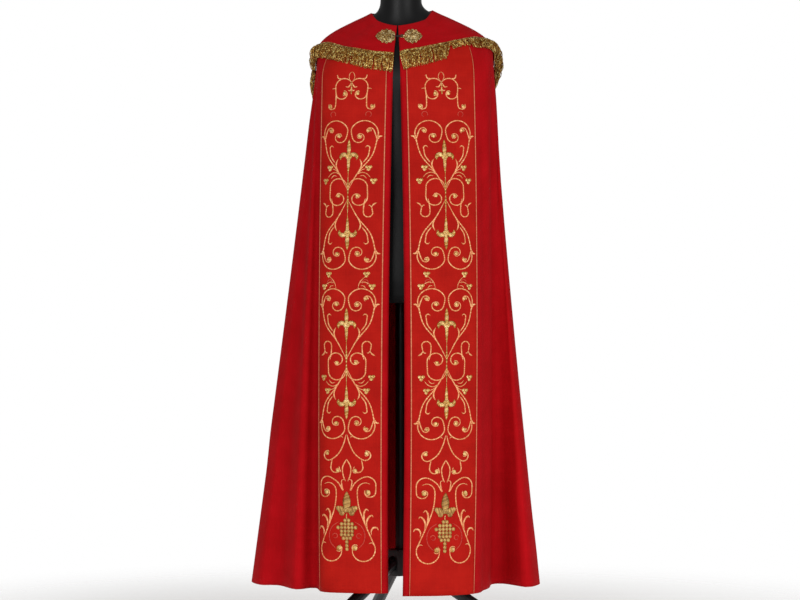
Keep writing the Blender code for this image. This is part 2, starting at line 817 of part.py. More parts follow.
def make_leg(name, direction):
    """A straight tube from the hub's side to the top of its foot; returns the foot's place."""
    out = Vector((math.cos(direction), math.sin(direction), 0.0))
    side = Vector((-out.y, out.x, 0.0))
    way = (out - Vector((0, 0, LEG_FALL))).normalized()
    up = side.cross(way)
    start = out * HUB_APOTHEM + Vector((0, 0, HEM_HEIGHT + HUB_RISE))
    near = HUB_APOTHEM + SEAM_GAP
    floor = FOOT_HEIGHT + SEAM_GAP
    points = []
    for ring in range(2):
        for corner in range(LEG_SIDES):
            angle = 2 * math.pi * corner / LEG_SIDES
            spot = start + (side * math.cos(angle) + up * math.sin(angle)) * LEG_RADIUS
            if ring == 0:
                spot += way * ((near - spot.dot(out)) / way.dot(out))
            else:
                spot += way * ((floor - spot.z) / way.z)
            points.append(spot)
    faces = [tuple(range(LEG_SIDES)), tuple(range(LEG_SIDES, 2 * LEG_SIDES))]
    for corner in range(LEG_SIDES):
        turn = (corner + 1) % LEG_SIDES
        faces.append((corner, turn, turn + LEG_SIDES, corner + LEG_SIDES))
    face_outward(add_object(name, points, faces, "stand_black", sharp_angle=0.6))
    reach = HUB_APOTHEM + (start.z - floor) / LEG_FALL
    return out * reach


def make_stand():
    hub_centre = HEM_HEIGHT + HUB_RISE
    hub_top = hub_centre + HUB_HEIGHT / 2
    form_base = HEM_HEIGHT + FORM_SECTIONS[-1][1]
    first_direction = math.radians(LEG_DIRECTIONS[0])
    make_cylinder("stand_pole", POLE_RADIUS, hub_top + SEAM_GAP, form_base - SEAM_GAP,
                  "stand_black")
    make_cylinder("stand_hub", HUB_APOTHEM / math.cos(math.pi / 6), hub_centre - HUB_HEIGHT / 2,
                  hub_top, "stand_black", sides=6, turn=first_direction)
    for number, degrees in enumerate(LEG_DIRECTIONS, start=1):
        place = make_leg("stand_leg_%d" % number, math.radians(degrees))
        foot = make_cylinder("stand_foot_%d" % number, FOOT_RADIUS, 0.0, FOOT_HEIGHT,
                             "foot_rubber", top_radius=FOOT_RADIUS * FOOT_TAPER)
        foot.location = place


# ---------------------------------------------------------------- build

clear_scene()
carrier = bpy.data.objects.new("carrier", None)
carrier.location = (AXIS_X, AXIS_Y, 0.0)
bpy.context.collection.objects.link(carrier)
materials = {name: make_material(name) for name in MATERIALS}

mantle = mantle_grid()
mantle_normals = grid_normals(mantle)
mantle_surface = surface_of(mantle)
hood_inner = hood_grid()
hood_outer = offset(hood_inner, grid_normals(hood_inner), HOOD_WALL)
hood_surface = surface_of(hood_outer)

make_mantle()
make_orphreys()
make_hood()
make_fringe()
make_clasp()
make_form()
make_stand()
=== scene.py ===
# %% [markdown]
# # A red cope on a dress form
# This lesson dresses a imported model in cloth, embroidery and fringe. The packed
# model is loaded as a fixed frame. Its hard parts stay and get finishes, and its
# soft parts are replaced by finer ones, made from the same sizes.

import math

import bpy
import numpy as np
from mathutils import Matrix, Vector
from mathutils.bvhtree import BVHTree


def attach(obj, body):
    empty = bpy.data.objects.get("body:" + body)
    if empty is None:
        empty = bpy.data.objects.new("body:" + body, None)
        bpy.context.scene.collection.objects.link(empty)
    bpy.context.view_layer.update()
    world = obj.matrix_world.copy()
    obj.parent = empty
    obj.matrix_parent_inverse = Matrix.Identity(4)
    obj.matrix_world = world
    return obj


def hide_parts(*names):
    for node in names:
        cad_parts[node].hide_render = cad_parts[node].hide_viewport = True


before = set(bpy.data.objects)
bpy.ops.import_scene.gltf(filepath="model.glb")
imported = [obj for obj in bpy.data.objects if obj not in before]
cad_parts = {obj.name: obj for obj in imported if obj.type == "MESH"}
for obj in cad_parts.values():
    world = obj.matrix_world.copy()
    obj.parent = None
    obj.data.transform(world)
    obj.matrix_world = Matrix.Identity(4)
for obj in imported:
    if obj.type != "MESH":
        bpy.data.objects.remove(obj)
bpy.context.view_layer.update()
print("nodes:", sorted(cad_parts))

# %% [markdown]
# ## The camera
# It stands level, six metres in front, as a tall garment is usually pictured. A
# long lens keeps the upright edges straight, and the wide frame cuts the neck.

# %% Camera
NECK_AXIS = np.array([0.0140, -0.0223])
HEM_HEIGHT = 0.145
CAMERA_DISTANCE = 6.0
CAMERA_RISE = 0.7075
CAMERA_SHIFT_LEFT = 0.0025
LENS_MM = 108.0
SENSOR_MM = 36.0
PICTURE_WIDTH = 800

camera_data = bpy.data.cameras.new("camera")
camera_data.lens = LENS_MM
camera_data.sensor_width = SENSOR_MM
camera = bpy.data.objects.new("camera", camera_data)
camera.location = (
    NECK_AXIS[0] - CAMERA_SHIFT_LEFT,
    NECK_AXIS[1] - CAMERA_DISTANCE,
    HEM_HEIGHT + CAMERA_RISE,
)
camera.rotation_euler = (math.radians(90), 0, 0)
bpy.context.scene.collection.objects.link(camera)
bpy.context.scene.camera = camera
print("one pixel of a picture %d wide is %.2f mm at the neck"
      % (PICTURE_WIDTH, CAMERA_DISTANCE * SENSOR_MM / LENS_MM / PICTURE_WIDTH * 1000))

# %% [markdown]
# ## Small helpers
# Much of this lesson mixes two values by a share, eases a share so that a change
# starts and ends gently, or finds a place at a distance along a line.

# %% Helpers for shares and lines


def mix(first, second, share):
    return first + (second - first) * share


def ease(share):
    """A share from 0 to 1 that starts and ends gently."""
    share = np.clip(share, 0.0, 1.0)
    return share * share * (3.0 - 2.0 * share)


def lengths_along(points):
    """Distance of each point of a line from its first point."""
    steps = np.linalg.norm(np.diff(points, axis=0), axis=1)
    return np.concatenate([[0.0], np.cumsum(steps)])


def points_along(line, distances):
    """Points at given distances along a line; before its start it runs straight on."""
    lengths = lengths_along(line)
    found = np.stack([np.interp(distances, lengths, column) for column in line.T], -1)
    first_way = (line[1] - line[0]) / (lengths[1] - lengths[0])
    before = np.minimum(np.asarray(distances), 0.0)
    return found + before[:, None] * first_way

# %% [markdown]
# ## The lines of the cloth
# Cloth is easiest to think of as a grid: rows run from the neck down to the hem,
# and columns run round the body. A cope is cut as part of a circle, so straight
# lines of its cloth run from the neck to the hem like spokes. Each line here has
# three known points: on the oval of the neck, on the wider section where it leaves
# the shoulder, and on the hem, which swings in and out in folds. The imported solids
# use the same lines with wide spaces. Here the spaces are narrow, so that the
# cloth looks smooth.

# %% Sizes of the cloth
NECK_WIDTHS = {"left": 0.073, "right": 0.077}
NECK_FRONT = 0.062
NECK_BACK = 0.068
NECK_RISE_FRONT = 1.385
NECK_RISE_SIDES = {"left": 1.423, "right": 1.430}
NECK_RISE_BACK = 1.434
NECK_PANEL_SHARE = 0.30
NECK_SIDE_SHARE = 0.20

CHEST_WIDTHS = {"left": 0.2075, "right": 0.2290}
CHEST_FRONT = 0.125
CHEST_BACK = 0.145
CHEST_FRONT_SQUARENESS = 4.0
CHEST_BACK_SQUARENESS = 2.6
CHEST_RISE_PANEL = 1.250
CHEST_RISE_SIDE = 1.324
CHEST_RISE_BACK = 1.225

# %% How the cloth falls
SHOULDER_OUT = (0.38, 0.98)
SHOULDER_DOWN = (0.33, 0.55)
EVEN_FROM = (0.14, 0.57)    # shares of the way down where the orphrey comes to full width
EVEN_ROOM = 0.75            # how much of the cloth beside it the orphrey may take up
# 1 would be an even slope from chest to hem, and more falls straighter at first.
FLARES = {"left": 1.07, "right": 1.15}
FLARE_BACK = 1.20

EDGE_STRIP = 0.015
ORPHREY_WIDTH = 0.168
FRONT_EDGES = {
    #         neck     chest    bow
    "left": (-0.0100, -0.0200, -0.0050),
    "right": (-0.0070, -0.0020, 0.0075),
}

# %% The plan of the hem
HEM_PLAN = [
    # place                x       y
    ("left edge", -0.031, -0.215),
    ("left panel", -0.108, -0.210),
    ("left crest 1", -0.186, -0.186),
    ("left hollow 1", -0.213, -0.104),
    ("left crest 2", -0.256, -0.132),
    ("left hollow 2", -0.303, -0.050),
    ("left crest 3", -0.350, -0.038),
    ("left side", -0.374, 0.050),
    ("left hollow 3", -0.300, 0.092),
    ("left crest 4", -0.330, 0.188),
    ("left hollow 4", -0.218, 0.152),
    ("left crest 5", -0.212, 0.274),
    ("left hollow 5", -0.118, 0.176),
    ("left crest 6", -0.082, 0.310),
    ("centre back", 0.006, 0.198),
    ("right crest 6", 0.080, 0.304),
    ("right hollow 5", 0.112, 0.176),
    ("right crest 5", 0.214, 0.260),
    ("right hollow 4", 0.204, 0.138),
    ("right crest 4", 0.314, 0.156),
    ("right hollow 3", 0.284, 0.066),
    ("right side", 0.347, 0.006),
    ("right crest 3", 0.313, -0.088),
    ("right hollow 2", 0.262, -0.018),
    ("right hollow 1", 0.229, -0.030),
    ("right crest 2", 0.207, -0.140),
    ("right crest 1", 0.180, -0.216),
    ("right panel", 0.098, -0.262),
    ("right edge", 0.004, -0.270),
]
print("places along the hem:", len(HEM_PLAN))

# %% [markdown]
# ### Counting the lines
# Every half of the cope has four stretches: the plain strip at the opening, the
# embroidered band (the orphrey), the side and the back. The solids have 1, 5, 8
# and 24 spaces in them. A finer line keeps its place in that count, so a height
# that was set for the solids can be read for it too.

# %% Spaces between the lines
SOLID_SPACES = (1, 5, 8, 24)
SOLID_STRIP, SOLID_PANEL, SOLID_SIDE, SOLID_BACK = np.cumsum(SOLID_SPACES).tolist()
FINE_SPACES = (3, 24, 24, 78)


def spread(marks, counts):
    """Values spaced evenly between marks, with a number of spaces for each stretch."""
    values = [np.array(marks[:1], dtype=float)]
    for start, end, count in zip(marks, marks[1:], counts):
        values.append(start + (end - start) * np.arange(1, count + 1) / count)
    return np.concatenate(values)


solid_place = spread((0, SOLID_STRIP, SOLID_PANEL, SOLID_SIDE, SOLID_BACK), FINE_SPACES)
print("lines in one half of the cloth:", len(solid_place))

# %% [markdown]
# ### Neck, chest and hem of every line
# The three points of a line lie at matching shares of the neckline, the chest
# section and the hem, so the cloth is neither pulled sideways nor bunched.

# %% Ovals and the hem
OVAL_POINTS = 161
HEM_STEPS = 10


def oval_line(half_width, front, back, square_front, square_back, side):
    """Half of an oval section, from the front centre to the back centre."""
    angle = np.linspace(0.0, math.pi, OVAL_POINTS)
    in_front = angle < math.pi / 2
    squareness = np.where(in_front, square_front, square_back)
    depth = np.where(in_front, -front, back)
    out = np.abs(np.sin(angle)) ** (2 / squareness)
    along = np.abs(np.cos(angle)) ** (2 / squareness)
    return np.stack([side * half_width * out, depth * along], -1)


def hem_line():
    """A smooth line through the hem's places."""
    places = np.array([(x, y) for _, x, y in HEM_PLAN])
    ends = np.concatenate([places[:1], places, places[-1:]])
    t = (np.arange(1, HEM_STEPS + 1) / HEM_STEPS)[:, None]
    line = [places[:1]]
    for before, start, end, after in zip(ends, ends[1:], ends[2:], ends[3:]):
        line.append(
            start * (2 * t ** 3 - 3 * t ** 2 + 1) + (end - before) / 2 * (t ** 3 - 2 * t ** 2 + t)
            + end * (3 * t ** 2 - 2 * t ** 3) + (after - start) / 2 * (t ** 3 - t ** 2)
        )
    return np.concatenate(line)


# %% Neck and chest of one half


def neck_and_chest(side_name):
    """Where the lines of one half lie on the neckline and on the chest section."""
    side = -1 if side_name == "left" else 1
    neck_edge, chest_edge, _ = FRONT_EDGES[side_name]

    neck = oval_line(NECK_WIDTHS[side_name], NECK_FRONT, NECK_BACK, 2.0, 2.0, side)
    total = lengths_along(neck)[-1]
    start = side * neck_edge
    panel = total * NECK_PANEL_SHARE
    strip = mix(start, panel, EDGE_STRIP / (EDGE_STRIP + ORPHREY_WIDTH))
    marks = (start, strip, panel, panel + total * NECK_SIDE_SHARE, total)
    neck = points_along(neck, spread(marks, FINE_SPACES))

    chest = oval_line(CHEST_WIDTHS[side_name], CHEST_FRONT, CHEST_BACK,
                      CHEST_FRONT_SQUARENESS, CHEST_BACK_SQUARENESS, side)
    lengths = lengths_along(chest)
    start = side * chest_edge
    band = start + EDGE_STRIP
    marks = (start, band, band + ORPHREY_WIDTH, lengths[len(chest) // 2], lengths[-1])
    return neck, points_along(chest, spread(marks, FINE_SPACES))


# %% Hem of one half


def hem_of(side_name):
    """Where the lines of one half lie on the hem."""
    side = -1 if side_name == "left" else 1
    names = [name for name, _, _ in HEM_PLAN]
    centre = names.index("centre back") * HEM_STEPS
    at_side = names.index(side_name + " side") * HEM_STEPS
    hem = hem_line()
    hem = hem[:centre + 1] if side < 0 else hem[centre:][::-1]
    lengths = lengths_along(hem)
    at_side = at_side if side < 0 else len(hem) - 1 - (at_side - centre)
    marks = (0.0, EDGE_STRIP, EDGE_STRIP + ORPHREY_WIDTH, lengths[at_side], lengths[-1])
    return points_along(hem, spread(marks, FINE_SPACES))


# %% Lines of both halves


def half_lines(side_name):
    """Neck, chest and hem points of one half's lines, with how they bow and flare."""
    neck, chest = neck_and_chest(side_name)
    across_side = ease((solid_place - SOLID_PANEL) / (SOLID_SIDE - SOLID_PANEL))
    to_back = ease((solid_place - SOLID_SIDE) / (SOLID_BACK - SOLID_SIDE))
    neck_rise = mix(NECK_RISE_FRONT, NECK_RISE_SIDES[side_name], ease(solid_place / SOLID_SIDE))
    neck_rise = mix(neck_rise, NECK_RISE_BACK, to_back)
    chest_rise = mix(CHEST_RISE_PANEL, CHEST_RISE_SIDE, across_side)
    chest_rise = mix(chest_rise, CHEST_RISE_BACK, to_back)
    points = [
        np.column_stack([plan + NECK_AXIS, np.broadcast_to(rise + HEM_HEIGHT, len(plan))])
        for plan, rise in ((neck, neck_rise), (chest, chest_rise), (hem_of(side_name), 0.0))
    ]
    flares = mix(FLARES[side_name], FLARE_BACK, to_back)
    bow = FRONT_EDGES[side_name][2]
    return (*points, bow * (1.0 - across_side), flares)


def join(left, right):
    """One half, and after it the other one from the centre back to its front edge."""
    return np.concatenate([left, right[-2::-1]])


halves = [half_lines("left"), half_lines("right")]
chest_points, hem_points, bows, flares = (join(*pair) for pair in list(zip(*halves))[1:])
line_place = np.concatenate([solid_place, 2 * SOLID_BACK - solid_place[-2::-1]])
print("the hem is %.2f m long" % np.linalg.norm(np.diff(hem_points, axis=0), axis=1).sum())

# %% [markdown]
# ### From lines to a surface
# Between neck and chest a line follows a cubic curve over the shoulder. The lines
# converge towards the neck, but an orphrey is cut to one width, so there its lines
# slide outward along each row. Below the chest a line hangs: straight down at
# first, and then outward into the folds.

# %% Shoulder
ROWS_SHOULDER = 30


def keep_orphrey_width(row, t):
    """Points of one half of a shoulder row, slid so that the orphrey stays even."""
    lengths = lengths_along(row)
    strip, panel, side, _ = np.cumsum(FINE_SPACES)
    start, edge, end = lengths[strip], lengths[panel], lengths[side]
    wanted = min(start + ORPHREY_WIDTH, mix(edge, end, EVEN_ROOM))
    share = (t - EVEN_FROM[0]) / (EVEN_FROM[1] - EVEN_FROM[0])
    edge = mix(edge, max(edge, wanted), ease(share))
    distances = spread((start, edge, end), FINE_SPACES[1:3])
    slid = row.copy()
    slid[strip:side + 1] = points_along(row, distances)
    return slid


def shoulder_row(neck, chest, t):
    first, second = 3 * t * (1 - t) ** 2, 3 * t ** 2 * (1 - t)
    out = first * SHOULDER_OUT[0] + second * SHOULDER_OUT[1] + t ** 3
    down = first * SHOULDER_DOWN[0] + second * SHOULDER_DOWN[1] + t ** 3
    row = mix(neck, chest, out)
    row[:, 2] = mix(neck[:, 2], chest[:, 2], down)
    return keep_orphrey_width(row, t)


shoulder = np.stack([
    join(*(shoulder_row(half[0], half[1], t) for half in halves))
    for t in np.linspace(0.0, 1.0, ROWS_SHOULDER + 1)
])

# %% Base surface of the cloth
ROWS_HANGING = 96

shares = np.linspace(0.0, 1.0, ROWS_HANGING + 1)[1:, None, None]
hanging = mix(chest_points, hem_points, shares ** flares[:, None])
hanging[..., 2:] = mix(chest_points[:, 2:], hem_points[:, 2:], shares)
hanging[..., 0] += bows * 4 * shares[..., 0] * (1 - shares[..., 0])

base_cloth = np.concatenate([shoulder, hanging])
print("the surface has %d rows of %d points" % base_cloth.shape[:2])

# %% [markdown]
# ## Light and floor
# Clothes shops picture vestments in flat white light, so that the colour reads
# true. Two wide soft lamps stand in front, close to the camera on either side, so
# that folds cast hardly any shadow. A third one lights the back. The pale floor is
# a disc of rings that fades out into the white world. The Standard view keeps a
# strong red strong.

# %% Colour helper and node helper


def colour(code):
    """An opaque linear colour from an sRGB hex code."""
    parts = [int(code[k:k + 2], 16) / 255 for k in (1, 3, 5)]
    linear = [c / 12.92 if c <= 0.04045 else ((c + 0.055) / 1.055) ** 2.4 for c in parts]
    return (*linear, 1.0)


def add_node(tree, kind, inputs=None, **settings):
    """A node with its settings; an input is a value, or an output to link from."""
    node = tree.nodes.new("ShaderNode" + kind)
    for name, value in settings.items():
        setattr(node, name, value)
    for socket, value in (inputs or {}).items():
        if isinstance(value, bpy.types.NodeSocket):
            tree.links.new(value, node.inputs[socket])
        else:
            node.inputs[socket].default_value = value
    return node


def new_material(name, **finish):
    """A material with its node tree and its Principled shader, finished as named."""
    material = bpy.data.materials.new(name)
    material.use_nodes = True
    tree = material.node_tree
    shader = tree.nodes["Principled BSDF"]
    for socket, value in finish.items():
        shader.inputs[socket.replace("_", " ")].default_value = value
    return material, tree, shader


# %% World and lamps
WORLD_GLOW = 0.38
LAMPS = [
    # name      width  power  place               aims at
    ("key", 2.4, 96.0, (-1.9, -4.6, 1.8), (0.0, 0.0, 0.7)),
    ("fill", 2.4, 102.0, (2.8, -4.0, 1.0), (0.0, 0.0, 0.6)),
    ("back", 2.4, 46.0, (0.6, 5.0, 2.2), (0.0, 0.0, 0.8)),
]

scene = bpy.context.scene
scene.view_settings.view_transform = "Standard"
world = bpy.data.worlds.new("white_studio")
scene.world = world
world.use_nodes = True
sky = world.node_tree.nodes["Background"]
sky.inputs["Color"].default_value = colour("#ffffff")
rays = add_node(world.node_tree, "LightPath")
glow = add_node(world.node_tree, "MapRange", {
    "Value": rays.outputs["Is Camera Ray"], "To Min": WORLD_GLOW, "To Max": 1.0})
world.node_tree.links.new(glow.outputs["Result"], sky.inputs["Strength"])

for name, width, power, place, aim in LAMPS:
    lamp = bpy.data.lights.new(name, "AREA")
    lamp.size = width
    lamp.energy = power
    lamp_object = bpy.data.objects.new(name, lamp)
    lamp_object.location = place
    way = Vector(aim) - Vector(place)
    lamp_object.rotation_euler = way.to_track_quat("-Z", "Y").to_euler()
    scene.collection.objects.link(lamp_object)
print("lamps:", [name for name, *_ in LAMPS])

# %% Faces of a tube


def tube_faces(rings, sides, flip=False):
    """Quads round a tube that is numbered ring by ring, and then a face over each end."""
    corner = np.arange(rings * sides).reshape(rings, sides)
    after = np.roll(corner, -1, axis=1)
    quads = np.stack([corner[:-1], after[:-1], after[1:], corner[1:]], -1).reshape(-1, 4)
    ends = [corner[0][::-1], corner[-1]]
    if flip:
        quads, ends = quads[:, [0, 3, 2, 1]], [end[::-1] for end in ends]
    return quads.tolist() + [end.tolist() for end in ends]


# %% Floor
FLOOR_RADIUS = 1.9
FLOOR_CLEAR_RADIUS = 0.75
FLOOR_RINGS = 6
FLOOR_SIDES = 64

turn = np.linspace(0, 2 * math.pi, FLOOR_SIDES, endpoint=False)
reach = np.linspace(FLOOR_RADIUS / FLOOR_RINGS, FLOOR_RADIUS, FLOOR_RINGS)
ring_points = [(r * math.cos(a), r * math.sin(a), 0.0) for r in reach for a in turn]
middle_face = list(range(FLOOR_SIDES))
ring_faces = tube_faces(FLOOR_RINGS, FLOOR_SIDES)[:-2]      # a flat tube, without its ends
floor_mesh = bpy.data.meshes.new("studio_floor")
floor_mesh.from_pydata(ring_points, [], [middle_face] + ring_faces)
floor = bpy.data.objects.new("studio_floor", floor_mesh)
scene.collection.objects.link(floor)

floor_paint, tree, shader = new_material(
    "painted_studio_floor", Base_Color=colour("#fbfaf8"), Roughness=0.7,
    Emission_Color=colour("#ffffff"), Emission_Strength=0.18)
place = add_node(tree, "NewGeometry")
distance = add_node(tree, "VectorMath", {0: place.outputs["Position"]}, operation="LENGTH")
fade = add_node(tree, "MapRange", {
    "Value": distance.outputs["Value"], "From Min": FLOOR_CLEAR_RADIUS,
    "From Max": FLOOR_RADIUS, "To Min": 1.0, "To Max": 0.0}, interpolation_type="SMOOTHSTEP")
tree.links.new(fade.outputs["Result"], shader.inputs["Alpha"])
floor_mesh.materials.append(floor_paint)
print("floor:", len(floor_mesh.polygons), "faces")

# %% [markdown]
# ## The red cloths
# The mantle and hood are a viscose and polyester dobby, dyed crimson and woven
# matt, with a faint bloom where fibre ends catch light. Threads lie about 0.4 mm
# apart. That is far too fine for a full view, so the weave is drawn 1.5 mm wide.
# A slow mottling and thin slub streaks along both threads carry the same idea to
# the eye from further away. The orphrey is a smoother satin, a warmer red.

# %% Sizes of the weave
THREAD_MM = 1.5             # drawn coarse; the real threads are 0.4 mm apart
SLUB_LENGTH_MM = 60.0
SLUB_WIDTH_MM = 2.2
MOTTLE_MM = 70.0
MOTTLE_SHARE = 0.6          # and the slubs have the rest
WAVE_SCALE = 0.1 * math.pi  # makes one wave of a Wave node one unit long

# %% Woven cloth


def woven(name, dark, middle, light, roughness, sheen, sheen_tint, weave_depth):
    """A woven cloth, coloured between dark and light; its UV is in metres."""
    material, tree, shader = new_material(
        name, Roughness=roughness, IOR=1.45, Specular_IOR_Level=0.06, Sheen_Weight=sheen,
        Sheen_Roughness=0.45, Sheen_Tint=colour(sheen_tint))
    place = add_node(tree, "UVMap", uv_map="cloth").outputs["UV"]

    slubs = []
    for along, across in ((SLUB_LENGTH_MM, SLUB_WIDTH_MM), (SLUB_WIDTH_MM, SLUB_LENGTH_MM)):
        stretched = add_node(tree, "VectorMath", {
            0: place, 1: (1000 / along, 1000 / across, 1.0)}, operation="MULTIPLY")
        slubs.append(add_node(tree, "TexNoise", {
            "Vector": stretched.outputs[0], "Scale": 1.0, "Detail": 3.0}).outputs[0])
    mottle = add_node(tree, "TexNoise", {
        "Vector": place, "Scale": 1000 / MOTTLE_MM, "Detail": 4.0, "Roughness": 0.6})
    both = add_node(tree, "Math", {0: slubs[0], 1: slubs[1]}, operation="ADD")
    half = add_node(tree, "Math", {0: both.outputs[0], 1: 0.5}, operation="MULTIPLY")
    tone = add_node(tree, "Mix", {
        0: MOTTLE_SHARE, 2: half.outputs[0], 3: mottle.outputs[0]}, data_type="FLOAT")
    ramp = add_node(tree, "ValToRGB", {"Fac": tone.outputs[0]})
    stops = ramp.color_ramp.elements
    stops[0].position, stops[0].color = 0.38, colour(dark)
    stops[1].position, stops[1].color = 0.62, colour(light)
    stops.new(0.5).color = colour(middle)

    waves = []
    for direction in ("X", "Y"):
        waves.append(add_node(tree, "TexWave", {
            "Vector": place, "Scale": 1000 / THREAD_MM * WAVE_SCALE, "Distortion": 0.6,
            "Detail": 1.0}, bands_direction=direction).outputs["Fac"])
    weave = add_node(tree, "Math", {0: waves[0], 1: waves[1]}, operation="MULTIPLY")
    relief = add_node(tree, "Math", {0: weave.outputs[0], 1: both.outputs[0]}, operation="ADD")
    bump = add_node(tree, "Bump", {
        "Height": relief.outputs[0], "Distance": weave_depth, "Strength": 0.6})
    tree.links.new(ramp.outputs["Color"], shader.inputs["Base Color"])
    tree.links.new(bump.outputs["Normal"], shader.inputs["Normal"])
    return material


# %% Two red cloths
crimson_dobby = woven(
    "crimson_dobby_cloth", "#a2090f", "#aa0a12", "#b20c15",
    roughness=0.80, sheen=0.03, sheen_tint="#ff8d84", weave_depth=0.00035)
scarlet_satin = woven(
    "scarlet_satin_cloth", "#9f130c", "#a9160e", "#b21a11",
    roughness=0.64, sheen=0.02, sheen_tint="#ffa08c", weave_depth=0.0002)
print("red cloths:", crimson_dobby.name, "and", scarlet_satin.name)

# %% [markdown]
# ## Soft creases
# Cloth that has been hung keeps soft folds that the big hem folds do not explain.
# Each one is a shallow trough or ridge, listed one by one: where it runs at the top
# and at the bottom, how far down it starts and ends, how wide and how deep it is.
# Places are counted in the lines of the solids, from the left edge round the back.
# Long troughs start below the shoulders, where the cloth has left the dress form.

# %% Crease table
CREASES = [
    # top   bottom  start  end   width  depth (mm; minus is a trough, plus a ridge)
    (7.3, 7.6, 0.10, 1.20, 0.8, -3.2),
    (9.0, 8.6, 0.02, 1.20, 1.0, 2.0),
    (10.4, 9.8, 0.12, 0.70, 0.8, -3.0),
    (11.8, 12.0, 0.15, 0.92, 0.9, -3.4),
    (13.4, 14.2, 0.04, 0.80, 1.1, 3.0),
    (17.0, 16.0, 0.18, 0.85, 1.0, -4.0),
    (20.4, 21.4, 0.24, 0.70, 1.1, -4.0),
    (24.6, 24.0, 0.20, 1.20, 1.0, 3.6),
    (28.4, 29.0, 0.28, 0.75, 1.0, -4.4),
    (32.0, 31.2, 0.18, 0.95, 1.2, 3.6),
    (35.6, 36.6, 0.26, 0.62, 1.0, -5.0),
    (39.8, 39.2, 0.20, 0.88, 1.1, 3.2),
    (43.0, 44.2, 0.30, 0.76, 1.0, -4.4),
    (47.4, 46.8, 0.16, 1.20, 1.0, 3.8),
    (51.0, 52.0, 0.26, 0.70, 0.9, -4.6),
    (55.2, 54.4, 0.22, 0.90, 1.1, -3.4),
    (58.8, 59.6, 0.06, 0.75, 1.0, 3.2),
    (62.2, 61.4, 0.12, 0.95, 0.9, -3.8),
    (64.6, 64.2, 0.10, 0.86, 0.8, -3.6),
    (65.7, 65.4, 0.00, 1.20, 0.6, 2.6),
    (66.7, 66.3, 0.08, 1.20, 0.6, -3.8),
    (67.8, 67.4, 0.00, 1.20, 0.7, 2.4),
    (69.0, 68.8, 0.08, 1.20, 0.5, -3.4),
    # short soft pleats under the fringe of the right shoulder and the left one
    (62.7, 62.9, 0.00, 0.26, 0.30, -2.2),
    (63.6, 63.9, 0.00, 0.30, 0.35, 2.6),
    (64.5, 64.9, 0.00, 0.34, 0.30, -2.8),
    (65.4, 65.8, 0.00, 0.38, 0.35, 2.6),
    (66.2, 66.6, 0.00, 0.30, 0.30, -2.4),
    (11.2, 10.9, 0.00, 0.24, 0.35, -2.4),
    (12.2, 12.0, 0.00, 0.28, 0.35, 2.4),
]
print("creases:", len(CREASES))

# %% Press the creases into the cloth
CREASE_FADE = 0.10
EDGE_TURNED_BACK = (0.0075, 0.0032, 0.0008)     # the pressed hem of each front edge rolls in
EDGE_FADE = 0.12


def grid_normals(grid):
    """The direction out of the cloth at each point of a grid (rows, columns, 3)."""
    down, across = np.gradient(grid, axis=(0, 1))
    normal = np.cross(across, down)
    return normal / np.linalg.norm(normal, axis=2, keepdims=True)


height_share = (base_cloth[..., 2] - HEM_HEIGHT) / CHEST_RISE_SIDE
fall = 1.0 - height_share
crease_push = np.zeros(base_cloth.shape[:2])
for top, bottom, start, end, width, depth in CREASES:
    centre = mix(top, bottom, np.clip(fall, 0.0, 1.0))
    profile = np.exp(-((line_place - centre) / width) ** 2)
    window = ease((fall - start) / CREASE_FADE) * ease((end - fall) / CREASE_FADE)
    crease_push += profile * window * depth / 1000
for column, turned_back in enumerate(EDGE_TURNED_BACK):
    for edge_column in (column, -1 - column):
        crease_push[:, edge_column] -= turned_back * ease(fall[:, edge_column] / EDGE_FADE)
normals = grid_normals(base_cloth)
cloth = base_cloth + normals * crease_push[..., None]
print("the cloth is pushed in by up to %.1f mm, at its front edges" % (-crease_push.min() * 1000))

# %% [markdown]
# ## The mantle
# The mantle is one great sheet, so it is one grid. A second grid lies a wall's
# thickness inside it, and a rim joins the two, so that the sheet is closed. Every
# point keeps its distances across and down the cloth, which place the weave.

# %% Faces of a sheet


def grid_faces(rows, columns):
    """Quads between the points of a grid, which are numbered row by row."""
    corner = np.arange(rows * columns).reshape(rows, columns)
    quads = np.stack([corner[:-1, :-1], corner[:-1, 1:], corner[1:, 1:], corner[1:, :-1]], -1)
    return quads.reshape(-1, 4).tolist()


def sheet_faces(rows, columns, flip=False):
    """Faces of a thin sheet: its outer grid, its inner grid and the rim between them."""
    count = rows * columns
    corner = np.arange(count).reshape(rows, columns)
    rim = np.concatenate([corner[0], corner[1:, -1], corner[-1, -2::-1], corner[-2:0:-1, 0]]).tolist()
    faces = grid_faces(rows, columns)
    faces += [[point + count for point in face[::-1]] for face in faces]
    for here, there in zip(rim, rim[1:] + rim[:1]):
        faces.append([there, here, here + count, there + count])
    return [face[::-1] for face in faces] if flip else faces


# %% Pieces and shells
def add_piece(name, points, faces, material, uv=None):
    """A mesh piece on the root body; uv holds one pair for each point, in metres."""
    mesh = bpy.data.meshes.new(name)
    mesh.from_pydata(np.asarray(points, dtype=float).reshape(-1, 3).tolist(), [], faces)
    if uv is not None:
        layer = mesh.uv_layers.new(name="cloth")
        corners = np.empty(len(mesh.loops), dtype=np.int32)
        mesh.loops.foreach_get("vertex_index", corners)
        layer.data.foreach_set("uv", np.asarray(uv, dtype=float)[corners].ravel())
    mesh.polygons.foreach_set("use_smooth", [True] * len(mesh.polygons))
    mesh.materials.append(material)
    piece = bpy.data.objects.new(name, mesh)
    bpy.context.scene.collection.objects.link(piece)
    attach(piece, "root")
    return piece


